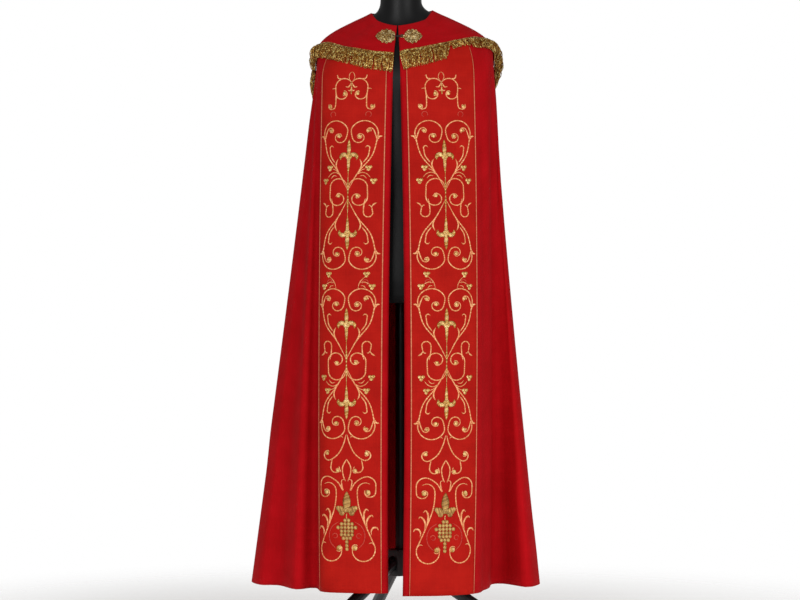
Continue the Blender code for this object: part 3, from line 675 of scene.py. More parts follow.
def cloth_uv(grid):
    """Distances across and down a grid, averaged, so that a weave keeps its scale."""
    across = np.linalg.norm(np.diff(grid, axis=1), axis=2).mean(axis=0)
    down = np.linalg.norm(np.diff(grid, axis=0), axis=2).mean(axis=1)
    u = np.concatenate([[0.0], np.cumsum(across)])
    v = np.concatenate([[0.0], np.cumsum(down)])
    return np.stack(np.meshgrid(u, -v), -1).reshape(-1, 2)


def shell(name, grid, thickness, material):
    """A thin closed sheet whose outer side is the grid."""
    points = np.concatenate([grid, grid - grid_normals(grid) * thickness])
    faces = sheet_faces(*grid.shape[:2])
    return add_piece(name, points, faces, material, np.tile(cloth_uv(grid), (2, 1)))


# %% Mantle
MANTLE_WALL = 0.0020

mantle = shell("mantle_cloth", cloth, MANTLE_WALL, crimson_dobby)
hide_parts("mantle")
print("mantle faces:", len(mantle.data.polygons))

# %% [markdown]
# ## The orphreys
# An orphrey is a separate band of satin, sewn on over the front edge and left
# flat. It is as wide as two hands, starts under the hood and ends at the hem. It
# is taken from the mantle's own lines and moved out by the thickness of cloth.

# %% Bands on the front edges
SEAM_GAP = 0.0003
ORPHREY_WALL = 0.0012
ORPHREY_LIFT = SEAM_GAP + ORPHREY_WALL
BAND_LINES = FINE_SPACES[1] + 1
BAND_TOP_ROW = 13
last_line = cloth.shape[1] - 1
BANDS = {
    "left": slice(FINE_SPACES[0], FINE_SPACES[0] + BAND_LINES),
    "right": slice(last_line - FINE_SPACES[0] - BAND_LINES + 1, last_line - FINE_SPACES[0] + 1),
}
normals = grid_normals(cloth)
for side_name, lines in BANDS.items():
    under = cloth[BAND_TOP_ROW:, lines]
    band = under + normals[BAND_TOP_ROW:, lines] * ORPHREY_LIFT
    name = "orphrey_satin_" + side_name
    piece = shell(name, band, ORPHREY_WALL, scarlet_satin)
    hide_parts("orphrey_" + side_name)

# %% [markdown]
# ### Finding a place on a band
# Embroidery is planned on paper: millimetres out from the band's middle line, and
# a height above the floor. One function turns such places into points in space
# with a lift off the cloth, so that every stitch lies on the curved band.

# %% Places on a band
BAND_STEP = 0.004
band_heights = np.arange(HEM_HEIGHT, base_cloth[BAND_TOP_ROW, 3, 2], BAND_STEP)


def even_band(lines):
    """The cloth under a band at even heights from the hem up, and the directions out of it."""
    rows = cloth[BAND_TOP_ROW:, lines][::-1]
    grid = np.stack([
        np.stack([np.interp(band_heights, rows[:, k, 2], rows[:, k, axis]) for axis in range(3)], -1)
        for k in range(rows.shape[1])
    ], axis=1)
    return grid, -grid_normals(grid)


band_grids = {name: even_band(lines) for name, lines in BANDS.items()}


def on_band(side_name, across_mm, height, lift):
    """Points at a distance from the band's middle line, a height and a lift off the satin."""
    grid, out = band_grids[side_name]
    column = np.clip(across_mm / 1000 / ORPHREY_WIDTH + 0.5, 0.0, 1.0) * (grid.shape[1] - 1.001)
    row = np.clip((height - HEM_HEIGHT) / BAND_STEP, 0.0, grid.shape[0] - 1.001)
    c, r = column.astype(int), row.astype(int)
    u, v = (column - c)[:, None], (row - r)[:, None]

    def between(values):
        upper = values[r, c] * (1 - u) + values[r, c + 1] * u
        lower = values[r + 1, c] * (1 - u) + values[r + 1, c + 1] * u
        return upper * (1 - v) + lower * v

    return between(grid) + between(out) * (ORPHREY_LIFT + lift)[:, None]


print("a band can be stitched from %.3f to %.3f m above the floor" % (
    band_heights[0], band_heights[-1]))

# %% [markdown]
# ## Gold embroidery
# The bands carry machine embroidery in metal-wrapped gold thread: baroque scrolls
# with lilies, and a vine leaf over a bunch of grapes at the foot. This is common
# church ornament. Every line is a satin stitch, a low rounded ridge of threads
# that lie across it. The end of each scroll is a small padded disc.
#
# A stroke is swept along its line with a low arch as its section, and a pad is a
# low dome. Real relief catches the lamps from every side, which a painted line
# could not. All stitches of one thread on a band are gathered in one mesh.

# %% A smooth line
POINTS_A_SPAN = 12


def smooth_line(points, step):
    """An even line through guiding points, with steps of about the length given."""
    points = np.asarray(points, dtype=float)
    gaps = np.sqrt(np.linalg.norm(np.diff(points, axis=0), axis=1))
    knots = np.concatenate([[0.0], np.cumsum(gaps)])
    before = 2 * points[0] - points[1]
    after = 2 * points[-1] - points[-2]
    points = np.concatenate([[before], points, [after]])
    knots = np.concatenate([[knots[0] - gaps[0]], knots, [knots[-1] + gaps[-1]]])
    drawn = []
    for k in range(1, len(points) - 2):
        t0, t1, t2, t3 = knots[k - 1:k + 3]
        p0, p1, p2, p3 = points[k - 1:k + 3]
        t = np.linspace(t1, t2, POINTS_A_SPAN, endpoint=k == len(points) - 3)[:, None]
        a1 = p0 + (p1 - p0) * (t - t0) / (t1 - t0)
        a2 = p1 + (p2 - p1) * (t - t1) / (t2 - t1)
        a3 = p2 + (p3 - p2) * (t - t2) / (t3 - t2)
        b1 = a1 + (a2 - a1) * (t - t0) / (t2 - t0)
        b2 = a2 + (a3 - a2) * (t - t1) / (t3 - t1)
        drawn.append(b1 + (b2 - b1) * (t - t1) / (t2 - t1))
    drawn = np.concatenate(drawn)
    lengths = lengths_along(drawn)
    count = max(3, int(round(lengths[-1] / step)) + 1)
    return points_along(drawn, np.linspace(0.0, lengths[-1], count))


# %% Many small forms in one mesh
def dome_faces(rings, sides, flip=False):
    """Faces of a dome: rings over a flat base, and one last point on top."""
    top = rings * sides
    last_ring = list(range(top - sides, top))
    fan = [[here, there, top] for here, there in zip(last_ring, last_ring[1:] + last_ring[:1])]
    faces = tube_faces(rings, sides)[:-1] + fan
    return [face[::-1] for face in faces] if flip else faces


class Gathered:
    """Gathers the points and faces of many small forms, for one mesh."""

    def __init__(self):
        self.points, self.faces, self.count = [], [], 0

    def gather(self, points, faces):
        points = np.asarray(points).reshape(-1, 3)
        self.faces += [[corner + self.count for corner in face] for face in faces]
        self.points.append(points)
        self.count += len(points)

    def piece(self, name, material, slot, uv=None):
        return add_piece(name, np.concatenate(self.points), self.faces, material, uv)


# %% Sizes of the stitches
STROKE_STEP_MM = 2.0
PATTERN_DRIFT = (
    # heights above the floor, and how far the middle line lies outward there, in mm
    (0.20, 0.50, 0.80, 1.15, 1.28, 1.40),
    (0.0, 1.5, 4.0, 5.5, 4.0, 1.0),
)
STITCH_BASE_MM = 0.1        # the foot of every stitch stands this far off the satin
STROKE_HEIGHT_MM = 0.9
STROKE_FULL_FROM_MM = 2.0   # a narrower stroke is lower in proportion
STROKE_TIP = 0.45           # the share of its width that a line keeps at its ends
STROKE_TAPERS = 8           # a line is at full width after an eighth of its length
STROKE_ARCH = ((-0.5, 0.0), (-0.32, 0.72), (0.0, 1.0), (0.32, 0.72), (0.5, 0.0))
PAD_SIDES = 14
PAD_RINGS = ((1.0, 0.0), (0.86, 0.55), (0.5, 0.92))
PAD_HEIGHT_MM = 1.3
PAD_UV_SHIFT = 3            # in radii, which keeps the places in a pad's UV above zero


# %% Strokes and pads
class Stitches(Gathered):
    """Gathers strokes and pads in band millimetres."""

    def __init__(self, side_name):
        super().__init__()
        self.side_name = side_name
        self.flat = []

    def add(self, rows, top, faces):
        """A row holds a point's places across and down, its lift, and its pair for the UV."""
        across, height, lift = rows[:, 0], top - rows[:, 1] / 1000, rows[:, 2]
        outward = 1.0 if self.side_name == "left" else -1.0
        inside = 1.0 - (across / 1000 / (ORPHREY_WIDTH / 2)) ** 2
        across = across + outward * np.interp(height, *PATTERN_DRIFT) * inside
        self.flat.append(rows[:, 3:] / 1000)
        self.gather(on_band(self.side_name, across, height, lift / 1000), faces)

    def stroke(self, line, top, width, height=STROKE_HEIGHT_MM):
        """A satin stitch along a line; width is in mm, or a function of the share along it."""
        line = smooth_line(line, STROKE_STEP_MM)
        way = np.gradient(line, axis=0)
        way /= np.linalg.norm(way, axis=1, keepdims=True)
        square = np.stack([-way[:, 1], way[:, 0]], -1)
        share = np.linspace(0.0, 1.0, len(line))
        if callable(width):
            widths = width(share)
        else:
            taper = ease(np.minimum(share, 1 - share) * STROKE_TAPERS)
            widths = width * mix(STROKE_TIP, 1.0, taper)
        lengths = lengths_along(line)
        rings = []
        for across_share, lift in STROKE_ARCH:
            place = line + square * (widths * across_share)[:, None]
            lifts = STITCH_BASE_MM + lift * height * np.minimum(1.0, widths / STROKE_FULL_FROM_MM)
            rings.append(np.column_stack([place, lifts, lengths, widths * across_share]))
        rings = np.stack(rings, axis=1)
        self.add(rings.reshape(-1, 5), top, tube_faces(*rings.shape[:2], flip=True))

    def pad(self, centre, top, radius, height=PAD_HEIGHT_MM):
        """A round padded place, stitched flat at its rim and full in the middle."""
        turn = np.linspace(0, 2 * math.pi, PAD_SIDES, endpoint=False)
        shift = radius * PAD_UV_SHIFT
        rows = []
        for reach, lift in PAD_RINGS:
            place = np.stack([np.cos(turn), np.sin(turn)], -1) * radius * reach
            lifts = np.full(PAD_SIDES, STITCH_BASE_MM + lift * height)
            rows.append(np.column_stack([place + centre, lifts, place + shift]))
        rows.append([[*centre, STITCH_BASE_MM + height, shift, shift]])
        self.add(np.concatenate(rows), top, dome_faces(len(PAD_RINGS), PAD_SIDES, flip=True))

    def finish(self, name, material, slot):
        """One piece of everything gathered."""
        return self.piece(name, material, slot, np.concatenate(self.flat))

# %% [markdown]
# ### The pattern of a band
# The pattern is the same on both sides of a band's middle line, so only its right
# half is written down: millimetres out from the middle, and millimetres down from
# the top of its unit. Scrolls are arcs and spirals, each with a centre, the radius
# at either end and the turns between them, where 0 points outward, a quarter
# points down and three quarters up. A few guiding points join them. Leaves and
# petals follow guiding points, and swell and taper along their length.
#
# The long unit is two hearts, one on its head, tied by round scrolls. The next
# unit down is the same one turned upside down.

# %% The pattern, in millimetres
LINE_MM = 3.2
FINE_LINE_MM = 2.4
UNIT_LENGTH_MM = 374.0
POINTS_A_TURN = 12


def around(centre, radii, turns):
    """An arc, or a spiral whose radius grows by the same share at every step."""
    count = max(3, int(abs(turns[1] - turns[0]) * POINTS_A_TURN) + 1)
    reach = np.geomspace(radii[0], radii[1], count)
    angle = 2 * math.pi * np.linspace(turns[0], turns[1], count)
    return [(centre[0] + r * math.cos(t), centre[1] + r * math.sin(t))
            for r, t in zip(reach, angle)]


HEART_LINES = [
    [*around((25, 45), (6, 18), (0.5, 1.5)), *around((36, 38), (33.5, 32), (0.56, 1.06)),
     (55, 91), (24, 132), (1.5, 173)],
    [(67, 55), *around((48, 31), (10, 5.5), (0.95, 0.36))],
    [(35, 108), (46, 92), *around((44, 72), (5.8, 4.6), (0.08, -0.46))],
]
HEART_LEAVES = [
    # a leaf along its line, its greatest width
    ([(24.6, 129), (30.5, 118), (31, 109), (26.5, 99)], 3.6),
    ([(67.5, 52), (71, 44), (78, 43)], 4.2),
]
HEART_DISCS = [((25, 43), 4.6, 0.55), ((46, 29), 4.2, 0.9)]

TIE_LINES = [
    [*around((24, 170), (22.5, 22.5), (0.5, 1.03)),
     *around((23.5, 195), (22.5, 8.5), (0.02, 0.92))],
    [(42, 196), (38.5, 214), *around((49, 230.5), (11, 10), (0.47, -0.06)), (56, 214)],
]
TIE_LEAVES = [
    ([(56.5, 218), (60, 211), (68, 206)], 3.4),
    ([(57, 219), (53, 213), (49, 213)], 2.2),
    ([(12, 149), (22, 137), (33, 132), (45, 136), (53, 145)], 2.0),
    ([(22, 137), (31, 127), (41, 123)], 1.6),
    ([(28, 141), (37, 140), (44, 147)], 1.8),
]
TIE_DISCS = [((23, 189), 4.6, 0.6)]
LILY = [
    # a petal's line, its greatest width, how far along that is, its height
    ([(0, 98), (0, 74), (0, 52)], 9.5, 0.5, 1.4),
    ([(0.5, 105), *around((11.7, 97), (8.6, 8.6), (0.5, 1.08))], 11.0, 0.56, 1.8),
    ([(0, 94), (0, 116), (0, 136)], 7.5, 0.3, 1.2),
    ([(0, 126), (0, 160), (0, 187)], 4.2, 0.75, 1.2),
]
TREFOILS = [(48, 121), (60, 153)]
TREFOIL_LEAVES = ((-4.0, -2.4), (3.8, -2.2), (0.2, 4.0))
TREFOIL_LEAF_MM = 4.2
print("lines in half a long unit:", 2 * len(HEART_LINES) + len(TIE_LINES))

# %% [markdown]
# ### Crest and foot of the band
# A small crest opens the band under the hood. At the foot two scrolls lean
# together over an almond leaf, and a lyre of long lines holds the vine.

# %% Crest and foot, in millimetres
CREST_LINES = [
    [*around((19, 37.5), (22.5, 21), (0.6, 1.03)), *around((20, 52), (17.5, 7), (0.08, 0.72))],
    [(39, 42), (38, 68), *around((50.5, 81), (12, 6.5), (0.42, -0.08))],
    [(24, 16.5), (34, 14.5), (37, 6)],
]
CREST_LEAVES = [
    ([(1, 25), (4, 32), (8, 36.5), (14.5, 35.5)], 3.4),
    ([(0.5, 40), (3, 45.5), (8.5, 44)], 2.6),
    ([(39.5, 41), (44, 39.5), (49, 41)], 1.6),
    ([(1, 25), (6.8, 13), (4.6, 3), (0, -1)], 1.2),
]
CREST_DISCS = [((16, 52), 4.6, 0.1), ((53.5, 84), 4.2, 0.3)]
CREST_BUD = [([(0, 20), (0, 38), (0, 55)], 3.6, 0.7, STROKE_HEIGHT_MM)]

FOOT_LINES = [
    [(1, 24), (8, 48), (20, 70), *around((46.5, 72.5), (14.5, 9.5), (0.36, -0.27))],
    [(36, 84), *around((26, 104.5), (14.5, 8), (-0.08, 0.58))],
    [(0, 83), (10, 103), (8, 124), (3, 136)],
    [(3, 132), (12, 134), (12, 146), (9, 159), (20, 141),
     *around((50, 148), (23.5, 20.5), (0.65, 1.02)),
     *around((52.5, 160.5), (17.5, 8.5), (0.08, 0.56))],
    [*around((46, 160), (20, 20), (0.84, 0.5)), (29, 196), (42, 234),
     *around((38.5, 301), (31, 25), (-0.11, 0.58))],
]
FOOT_LEAVES = [
    ([(46, 243), (42, 226), (42, 212), (48, 203), (53, 208)], 4.4),
    ([(50, 250), (48, 235), (53, 223), (61, 218), (64, 223)], 4.4),
    ([(60, 266), (59, 256), (64, 248), (73, 248), (76, 254)], 4.2),
    ([(66, 290), (60, 284), (53, 286)], 1.6),
    ([(9, 32), (12, 28), (15, 30)], 1.4),
]
FOOT_DISCS = [((48.5, 69), 4.8, 0.6), ((21.5, 111), 4.8, 0.4), ((51.5, 163), 6.0, 0.4),
              ((19.5, 297), 6.4, 0.1)]

VINE_LEAF = [([(0, 207), (0, 188), (0, 161)], 19.5, 0.42, 1.8)]
VINE_LEAF_LOBES = [
    # centre, radius
    ((15, 204.5), 8.8), ((21.5, 201), 5.6), ((12, 213), 6.8), ((4.5, 206), 6.6),
]
VINE_LOBE_HEIGHT_MM = 1.6
VINE_STALK = [(0, 214), (1, 221), (0, 228)]
GRAPE_ROWS = (2, 4, 6, 4, 4, 3, 1, 1, 1)
GRAPES_FROM_MM = 230.5
GRAPE_PITCH_MM = (8.5, 8.6)
GRAPE_MM = 4.8
GRAPE_HEIGHT_MM = 2.0

FAINT_LINES = {
    "unit": [around((44, -10.5), (7, 6.5), (0.38, 1.2))],
    "foot": [around((8, 268), (36, 36), (-0.2, 0.16)), around((29, 268), (6.5, 5), (0, -0.9))],
}
print("grapes in a bunch:", sum(GRAPE_ROWS))

# %% [markdown]
# ### Gold thread
# The thread is a silk core wrapped in a thin strip of gilt polyester film. In thin
# lines the red cloth is mirrored in it, so they look like rose gold; that
# reflection is painted into their colour. On raised parts it is laid over a
# yellow padding, and there it is olive gold with pale glints, which are painted
# too. Single threads of 0.4 mm lie across every ridge, drawn here 1.3 mm wide,
# and each has its own tone, from dark up to a painted glint, which stands in for
# the glitter of stitched gold.

# %% Thread laid across a stroke
STITCH_MM = 1.3             # drawn coarse; the real threads are 0.4 mm apart
STITCH_SLANT = 0.35
TONE_PATCH_MM = 50 / 3      # three patches of slightly other tone in 50 mm


def stitched(name, dark, middle, light, metallic, roughness, thread_rise):
    """Threads laid across a stroke; its UV holds the way along and across it."""
    material, tree, shader = new_material(name, Metallic=metallic, Roughness=roughness)
    place = add_node(tree, "UVMap", uv_map="cloth").outputs["UV"]
    parts = add_node(tree, "SeparateXYZ", {0: place})
    slant = add_node(tree, "Math", {
        0: parts.outputs["Y"], 1: STITCH_SLANT, 2: parts.outputs["X"]}, operation="MULTIPLY_ADD")
    count = add_node(tree, "Math", {
        0: slant.outputs[0], 1: 1000 / STITCH_MM}, operation="MULTIPLY").outputs[0]
    number = add_node(tree, "Math", {0: count}, operation="FLOOR")
    within = add_node(tree, "Math", {0: count}, operation="FRACT")
    tone = add_node(tree, "TexWhiteNoise", {"W": number.outputs[0]}, noise_dimensions="1D")
    where = add_node(tree, "TexCoord").outputs["Object"]
    cloud = add_node(tree, "TexNoise", {
        "Vector": where, "Scale": 1000 / TONE_PATCH_MM, "Detail": 3.0})
    both = add_node(tree, "Math", {
        0: tone.outputs["Value"], 1: cloud.outputs[0]}, operation="ADD")
    half = add_node(tree, "Math", {0: both.outputs[0], 1: 0.5}, operation="MULTIPLY")
    # Each thread gets a tone between dark and light; on the gold threads the light end is a painted
    # glint.
    ramp = add_node(tree, "ValToRGB", {"Fac": half.outputs[0]})
    stops = ramp.color_ramp.elements
    stops[0].position, stops[0].color = 0.25, colour(dark)
    stops[1].position, stops[1].color = 0.78, colour(light)
    stops.new(0.5).color = colour(middle)
    round_thread = add_node(tree, "Math", {0: within.outputs[0], 1: math.pi}, operation="MULTIPLY")
    ridge = add_node(tree, "Math", {0: round_thread.outputs[0]}, operation="SINE")
    bump = add_node(tree, "Bump", {
        "Height": ridge.outputs[0], "Distance": thread_rise, "Strength": 0.7})
    tree.links.new(ramp.outputs["Color"], shader.inputs["Base Color"])
    tree.links.new(bump.outputs["Normal"], shader.inputs["Normal"])
    return material


# %% Gold thread and crimson thread
# The rose tint of the thin gilt lines and of the running line is a painted reflection of the red
# cloth.
gilt_thread = stitched(
    "gilt_film_thread_satin_stitch_painted_glints_and_reflection", "#cf7440", "#e8965c", "#fcc890", 0.20, 0.38, 0.0002)
padded_thread = stitched(
    "gilt_film_thread_over_yellow_padding_painted_glints", "#8a5a1c", "#c8933f", "#ffe2a0", 0.35, 0.34, 0.0003)
leaf_thread = stitched(
    "old_gold_thread_over_yellow_padding_painted_glints", "#6d4816", "#a47634", "#dcb26a", 0.35, 0.38, 0.0003)
edge_thread = stitched(
    "gold_thread_running_line_painted_red_reflection", "#c86742", "#d4774f", "#e08a62", 0.0, 0.50, 0.0002)
crimson_thread = stitched(
    "crimson_rayon_thread_satin_stitch", "#a8180f", "#c4331f", "#d0502f", 0.0, 0.45, 0.0003)
print("last thread made:", crimson_thread.name)

# %% [markdown]
# ### Stitch both bands
# Lines, leaves, discs and trefoils are drawn on both sides of the middle line,
# upright or turned over. A petal that lies on the middle line is drawn once.

# %% Draw lines and petals
PETAL_ROOT_MM = 0.7
PETAL_FULLNESS = 0.75       # below 1 a petal is rounder than a sine wave
LEAF_WIDEST_AT = 0.6
LEAF_HEIGHT_MM = 1.2


def petal(widest, at):
    """Widths along a petal: narrow at its root, widest at a share, pointed at its tip."""
    power = math.log(0.5) / math.log(at)
    return lambda share: PETAL_ROOT_MM + widest * np.sin(
        math.pi * np.clip(share, 0, 1) ** power) ** PETAL_FULLNESS


def both_sides(line, turn_over):
    """A line on either side of the middle line, upright or turned over."""
    for side in (1, -1):
        yield side, [(side * a, UNIT_LENGTH_MM - b if turn_over else b) for a, b in line]


def draw_lines(outline, lines, top, turn_over=False, width=LINE_MM):
    for line in lines:
        for _, points in both_sides(line, turn_over):
            outline.stroke(points, top, width)


def draw_petals(stitches, petals, top, turn_over=False):
    for line, widest, at, height in petals:
        in_the_middle = not any(a for a, _ in line)
        for side, points in both_sides(line, turn_over):
            if side > 0 or not in_the_middle:
                stitches.stroke(points, top, petal(widest, at), height=height)


def draw_leaves(outline, leaves, top, turn_over=False):
    petals = [(line, widest, LEAF_WIDEST_AT, LEAF_HEIGHT_MM) for line, widest in leaves]
    draw_petals(outline, petals, top, turn_over)


# %% Draw discs and trefoils
CURL_TURNS = 0.55           # of the line round a disc
CURL_REACH = (1.35, 1.05)   # its distances from the centre, in radii of the disc
CURL_POINTS = 7
CURL_HEIGHT_MM = 1.3


def draw_discs(outline, filling, discs, top, turn_over=False):
    """Ends of scrolls: a small pad, with a last turn of the line curled round it."""
    for centre, radius, start in discs:
        for side, ((a, b),) in both_sides([centre], turn_over):
            filling.pad((a, b), top, radius)
            turn = -side if turn_over else side
            angle = 2 * math.pi * (start + np.linspace(0.0, CURL_TURNS, CURL_POINTS)) * turn
            reach = np.linspace(radius * CURL_REACH[0], radius * CURL_REACH[1], CURL_POINTS)
            curl = np.stack([a + side * reach * np.cos(angle), b + reach * np.sin(angle)], -1)
            outline.stroke(curl, top, FINE_LINE_MM, height=CURL_HEIGHT_MM)


def draw_trefoils(filling, centres, top, turn_over=False):
    for _, points in both_sides(centres, turn_over):
        for a, b in points:
            for out, down in TREFOIL_LEAVES:
                filling.pad((a + out, b + down), top, TREFOIL_LEAF_MM)


# %% Draw the units
UNIT_TOPS = {"first": 1.2962, "second": 0.8849}
CREST_TOP = 1.4104
FOOT_TOP = 0.5500


def draw_scrolls(outline, filling, scrolls, top, turn_over=False):
    lines, leaves, discs = scrolls
    draw_lines(outline, lines, top, turn_over)
    draw_leaves(outline, leaves, top, turn_over)
    draw_discs(outline, filling, discs, top, turn_over)


def draw_unit(outline, filling, top, turn_over):
    for upside_down in (False, True):
        draw_scrolls(outline, filling, (HEART_LINES, HEART_LEAVES, HEART_DISCS), top, upside_down)
        draw_petals(filling, LILY, top, upside_down)
    draw_scrolls(outline, filling, (TIE_LINES, TIE_LEAVES, TIE_DISCS), top, turn_over)
    draw_trefoils(filling, TREFOILS, top, turn_over)


def draw_vine(vine):
    """A vine leaf over a bunch of grapes."""
    draw_petals(vine, VINE_LEAF, FOOT_TOP)
    for (a, b), radius in VINE_LEAF_LOBES:
        for side in (1, -1):
            vine.pad((side * a, b), FOOT_TOP, radius, height=VINE_LOBE_HEIGHT_MM)
    for row, grapes in enumerate(GRAPE_ROWS):
        for k in range(grapes):
            place = ((k - (grapes - 1) / 2) * GRAPE_PITCH_MM[0],
                     GRAPES_FROM_MM + row * GRAPE_PITCH_MM[1])
            vine.pad(place, FOOT_TOP, GRAPE_MM, height=GRAPE_HEIGHT_MM)


# %% Stitch both bands
EDGE_LINE_MM = 2.7
EDGE_LINE_AT_MM = 82.6
EDGE_LINE_MARGIN_MM = 1.0
SECOND_TREFOILS = [(47, -30), (60, 0)]
SECOND_LEAVES = [
    ([(27, 5), (30, -8), (37, -18), (45, -25)], 1.8),
    ([(30, -9), (43, -11), (55, -5)], 1.8),
    ([(33, -2), (40, -2), (45, 4)], 1.6),
]

band_length_mm = (band_heights[-1] - HEM_HEIGHT) * 1000
for side_name in BANDS:
    outline, filling, vine, edges, faint = (Stitches(side_name) for _ in range(5))
    draw_scrolls(outline, filling, (CREST_LINES, CREST_LEAVES, CREST_DISCS), CREST_TOP)
    draw_petals(filling, CREST_BUD, CREST_TOP)
    draw_unit(outline, filling, UNIT_TOPS["first"], False)
    draw_unit(outline, filling, UNIT_TOPS["second"], True)
    draw_leaves(outline, SECOND_LEAVES, UNIT_TOPS["second"])
    draw_trefoils(filling, SECOND_TREFOILS, UNIT_TOPS["second"])
    draw_scrolls(outline, filling, (FOOT_LINES, FOOT_LEAVES, FOOT_DISCS), FOOT_TOP)
    draw_vine(vine)
    filling.stroke(VINE_STALK, FOOT_TOP, FINE_LINE_MM)
    for at in (-EDGE_LINE_AT_MM, EDGE_LINE_AT_MM):
        ends = [(at, EDGE_LINE_MARGIN_MM), (at, band_length_mm - EDGE_LINE_MARGIN_MM)]
        edges.stroke(ends, band_heights[-1], EDGE_LINE_MM)
    for top in UNIT_TOPS.values():
        draw_lines(faint, FAINT_LINES["unit"], top, width=FINE_LINE_MM)
    draw_lines(faint, FAINT_LINES["foot"], FOOT_TOP, width=FINE_LINE_MM)
    outline.finish("gold_outline_" + side_name, gilt_thread, "gold_bullion")
    filling.finish("gold_filling_" + side_name, padded_thread, "gold_bullion")
    vine.finish("gold_vine_" + side_name, leaf_thread, "gold_bullion")
    edges.finish("edge_lines_" + side_name, edge_thread, "gold_bullion")
    faint.finish("crimson_outline_" + side_name, crimson_thread, "orphrey_cloth")

# %% [markdown]
# ## The hood
# The hood of a cope was once a real one. Today it is a flat shield of the same
# cloth that lies over the shoulders and hangs down the back. It follows the mantle
# a few millimetres further out, as a second sheet does, and softens its folds.

# %% The hood's edge
HOOD_WALL = 0.0020
HOOD_LIFT = 0.0032
HOOD_LIFT_NECK = 0.0009
HOOD_LIFTS = 4              # the full lift is reached after a quarter of the way down
HOOD_EDGES = {
    # place among the lines (0 front edge, 6 orphrey's edge, 14 side), rise
    "left": [(0, 1.3052), (2, 1.3092), (6, 1.3364), (10, 1.3408), (14, 1.3390)],
    "right": [(0, 1.3085), (2, 1.3188), (6, 1.3476), (9, 1.3524), (12, 1.3528), (14, 1.3480)],
}
HOOD_RISE_BACK = 0.980
HOOD_CURVE = (1.2, 0.6, -0.8)   # how the shield's edge falls from the side to the back

from_front = np.minimum(line_place, 2 * SOLID_BACK - line_place)
on_left = line_place <= SOLID_BACK
behind = np.clip((from_front - SOLID_SIDE) / (SOLID_BACK - SOLID_SIDE), 0.0, 1.0)
drop = behind * (HOOD_CURVE[0] + behind * (HOOD_CURVE[1] + HOOD_CURVE[2] * behind))
edge_rise = np.zeros(len(line_place))
for side_name, here in (("left", on_left), ("right", ~on_left)):
    places, rises = zip(*HOOD_EDGES[side_name])
    front_rise = np.interp(from_front[here], places, rises)
    edge_rise[here] = mix(front_rise, HOOD_RISE_BACK, drop[here])
print("the hood reaches down to %.3f m above the floor" % (HEM_HEIGHT + edge_rise.min()))

# %% Hood
HOOD_ROWS = 56
HOOD_EASING = 8             # rounds of softening across the folds
HOOD_SOFTNESS = 0.8         # the share of the way to the softer place in each round


def rows_of(grid, numbers):
    """A grid's points at row numbers that need not be whole; one set for each column."""
    columns = np.arange(grid.shape[1])[None, :]
    above = np.clip(numbers.astype(int), 0, grid.shape[0] - 2)
    share = (numbers - above)[..., None]
    return grid[above, columns] * (1 - share) + grid[above + 1, columns] * share


last_rows = np.array([
    np.interp(-(HEM_HEIGHT + edge_rise[k]), -cloth[:, k, 2], np.arange(cloth.shape[0]))
    for k in range(cloth.shape[1])
])
hood_rows = np.linspace(0.0, 1.0, HOOD_ROWS + 1)[:, None] * last_rows[None, :]
lifted = np.minimum(1.0, HOOD_LIFTS * hood_rows / last_rows)
hood_lift = mix(HOOD_LIFT_NECK, HOOD_LIFT, lifted) + HOOD_WALL
hood_normals = rows_of(normals, hood_rows)
hood_normals /= np.linalg.norm(hood_normals, axis=2, keepdims=True)
hood_cloth = rows_of(cloth, hood_rows) + hood_normals * hood_lift[..., None]
for _ in range(HOOD_EASING):
    softer = (hood_cloth[:, :-2] + 2 * hood_cloth[:, 1:-1] + hood_cloth[:, 2:]) / 4
    hood_cloth[:-1, 1:-1] = mix(hood_cloth[:-1, 1:-1], softer[:-1], HOOD_SOFTNESS)
hood = shell("hood_cloth", hood_cloth, HOOD_WALL, crimson_dobby)
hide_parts("hood")
hood_edge = hood_cloth[-1]
print("the hood's edge is %.2f m long" % lengths_along(hood_edge)[-1])

# %% [markdown]
# ## The bullion fringe
# Bullion fringe is made of tight spirals of gilt thread, two twisted together and
# sewn to a narrow woven heading. Strands hang close, sway a little, and throw
# small glints, because every turn of the spiral meets the lamps afresh. Here those
# glints, and the shade between the turns, are painted into the thread's colour. Each
# strand here is a slim rope whose oval section turns as it runs down, so the
# twist is real. They lie in three layers, which fill each other's gaps.

# %% Fringe sizes
FRINGE_LENGTH = 0.0455
FRINGE_GAP = 0.0012
FRINGE_PITCH = 0.0017
FRINGE_SPLAY = 0.45
STRAND_WIDE = 0.00140
STRAND_THIN = 0.00080
STRAND_SIDES = 5
STRAND_SECTIONS = 12
STRAND_TURNS = 3.2
STRAND_LAYER = 0.0016
STRAND_TAPER = 0.72         # its thickness near its end, as a share
STRAND_TIP = 0.6            # and how much of that its last ring keeps
TIP_GAP_SHARE = 0.30        # how much of a root's distance from the cloth its tip keeps
CROWDING_MM = 9             # standing off this far halves the space between roots
FRINGE_SHAPE = {
    # distance from the front end, standing off (mm), share of the full length
    "left": [(0.00, 0, 1.00), (0.19, 2, 0.95), (0.215, 9, 0.9), (0.24, 13, 1.0),
             (0.262, 14, 1.0), (0.272, 11, 0.95), (0.286, 3, 0.8), (0.30, 8, 0.9),
             (0.325, 13, 1.0), (0.35, 9, 1.0), (0.375, 1, 1.0), (0.60, 0, 1.0)],
    "right": [(0.00, 0, 1.00), (0.112, 0, 0.95), (0.124, 1, 0.45), (0.180, 1, 0.40),
              (0.196, 2, 0.70), (0.23, 5, 0.75), (0.26, 10, 0.9), (0.29, 16, 1.0),
              (0.315, 19, 1.0), (0.34, 14, 1.0), (0.365, 6, 1.0), (0.39, 0, 1.0), (0.60, 0, 1.0)],
}
RUCKED = (0.122, 0.188)     # stretch of the right front where strands were pushed sideways

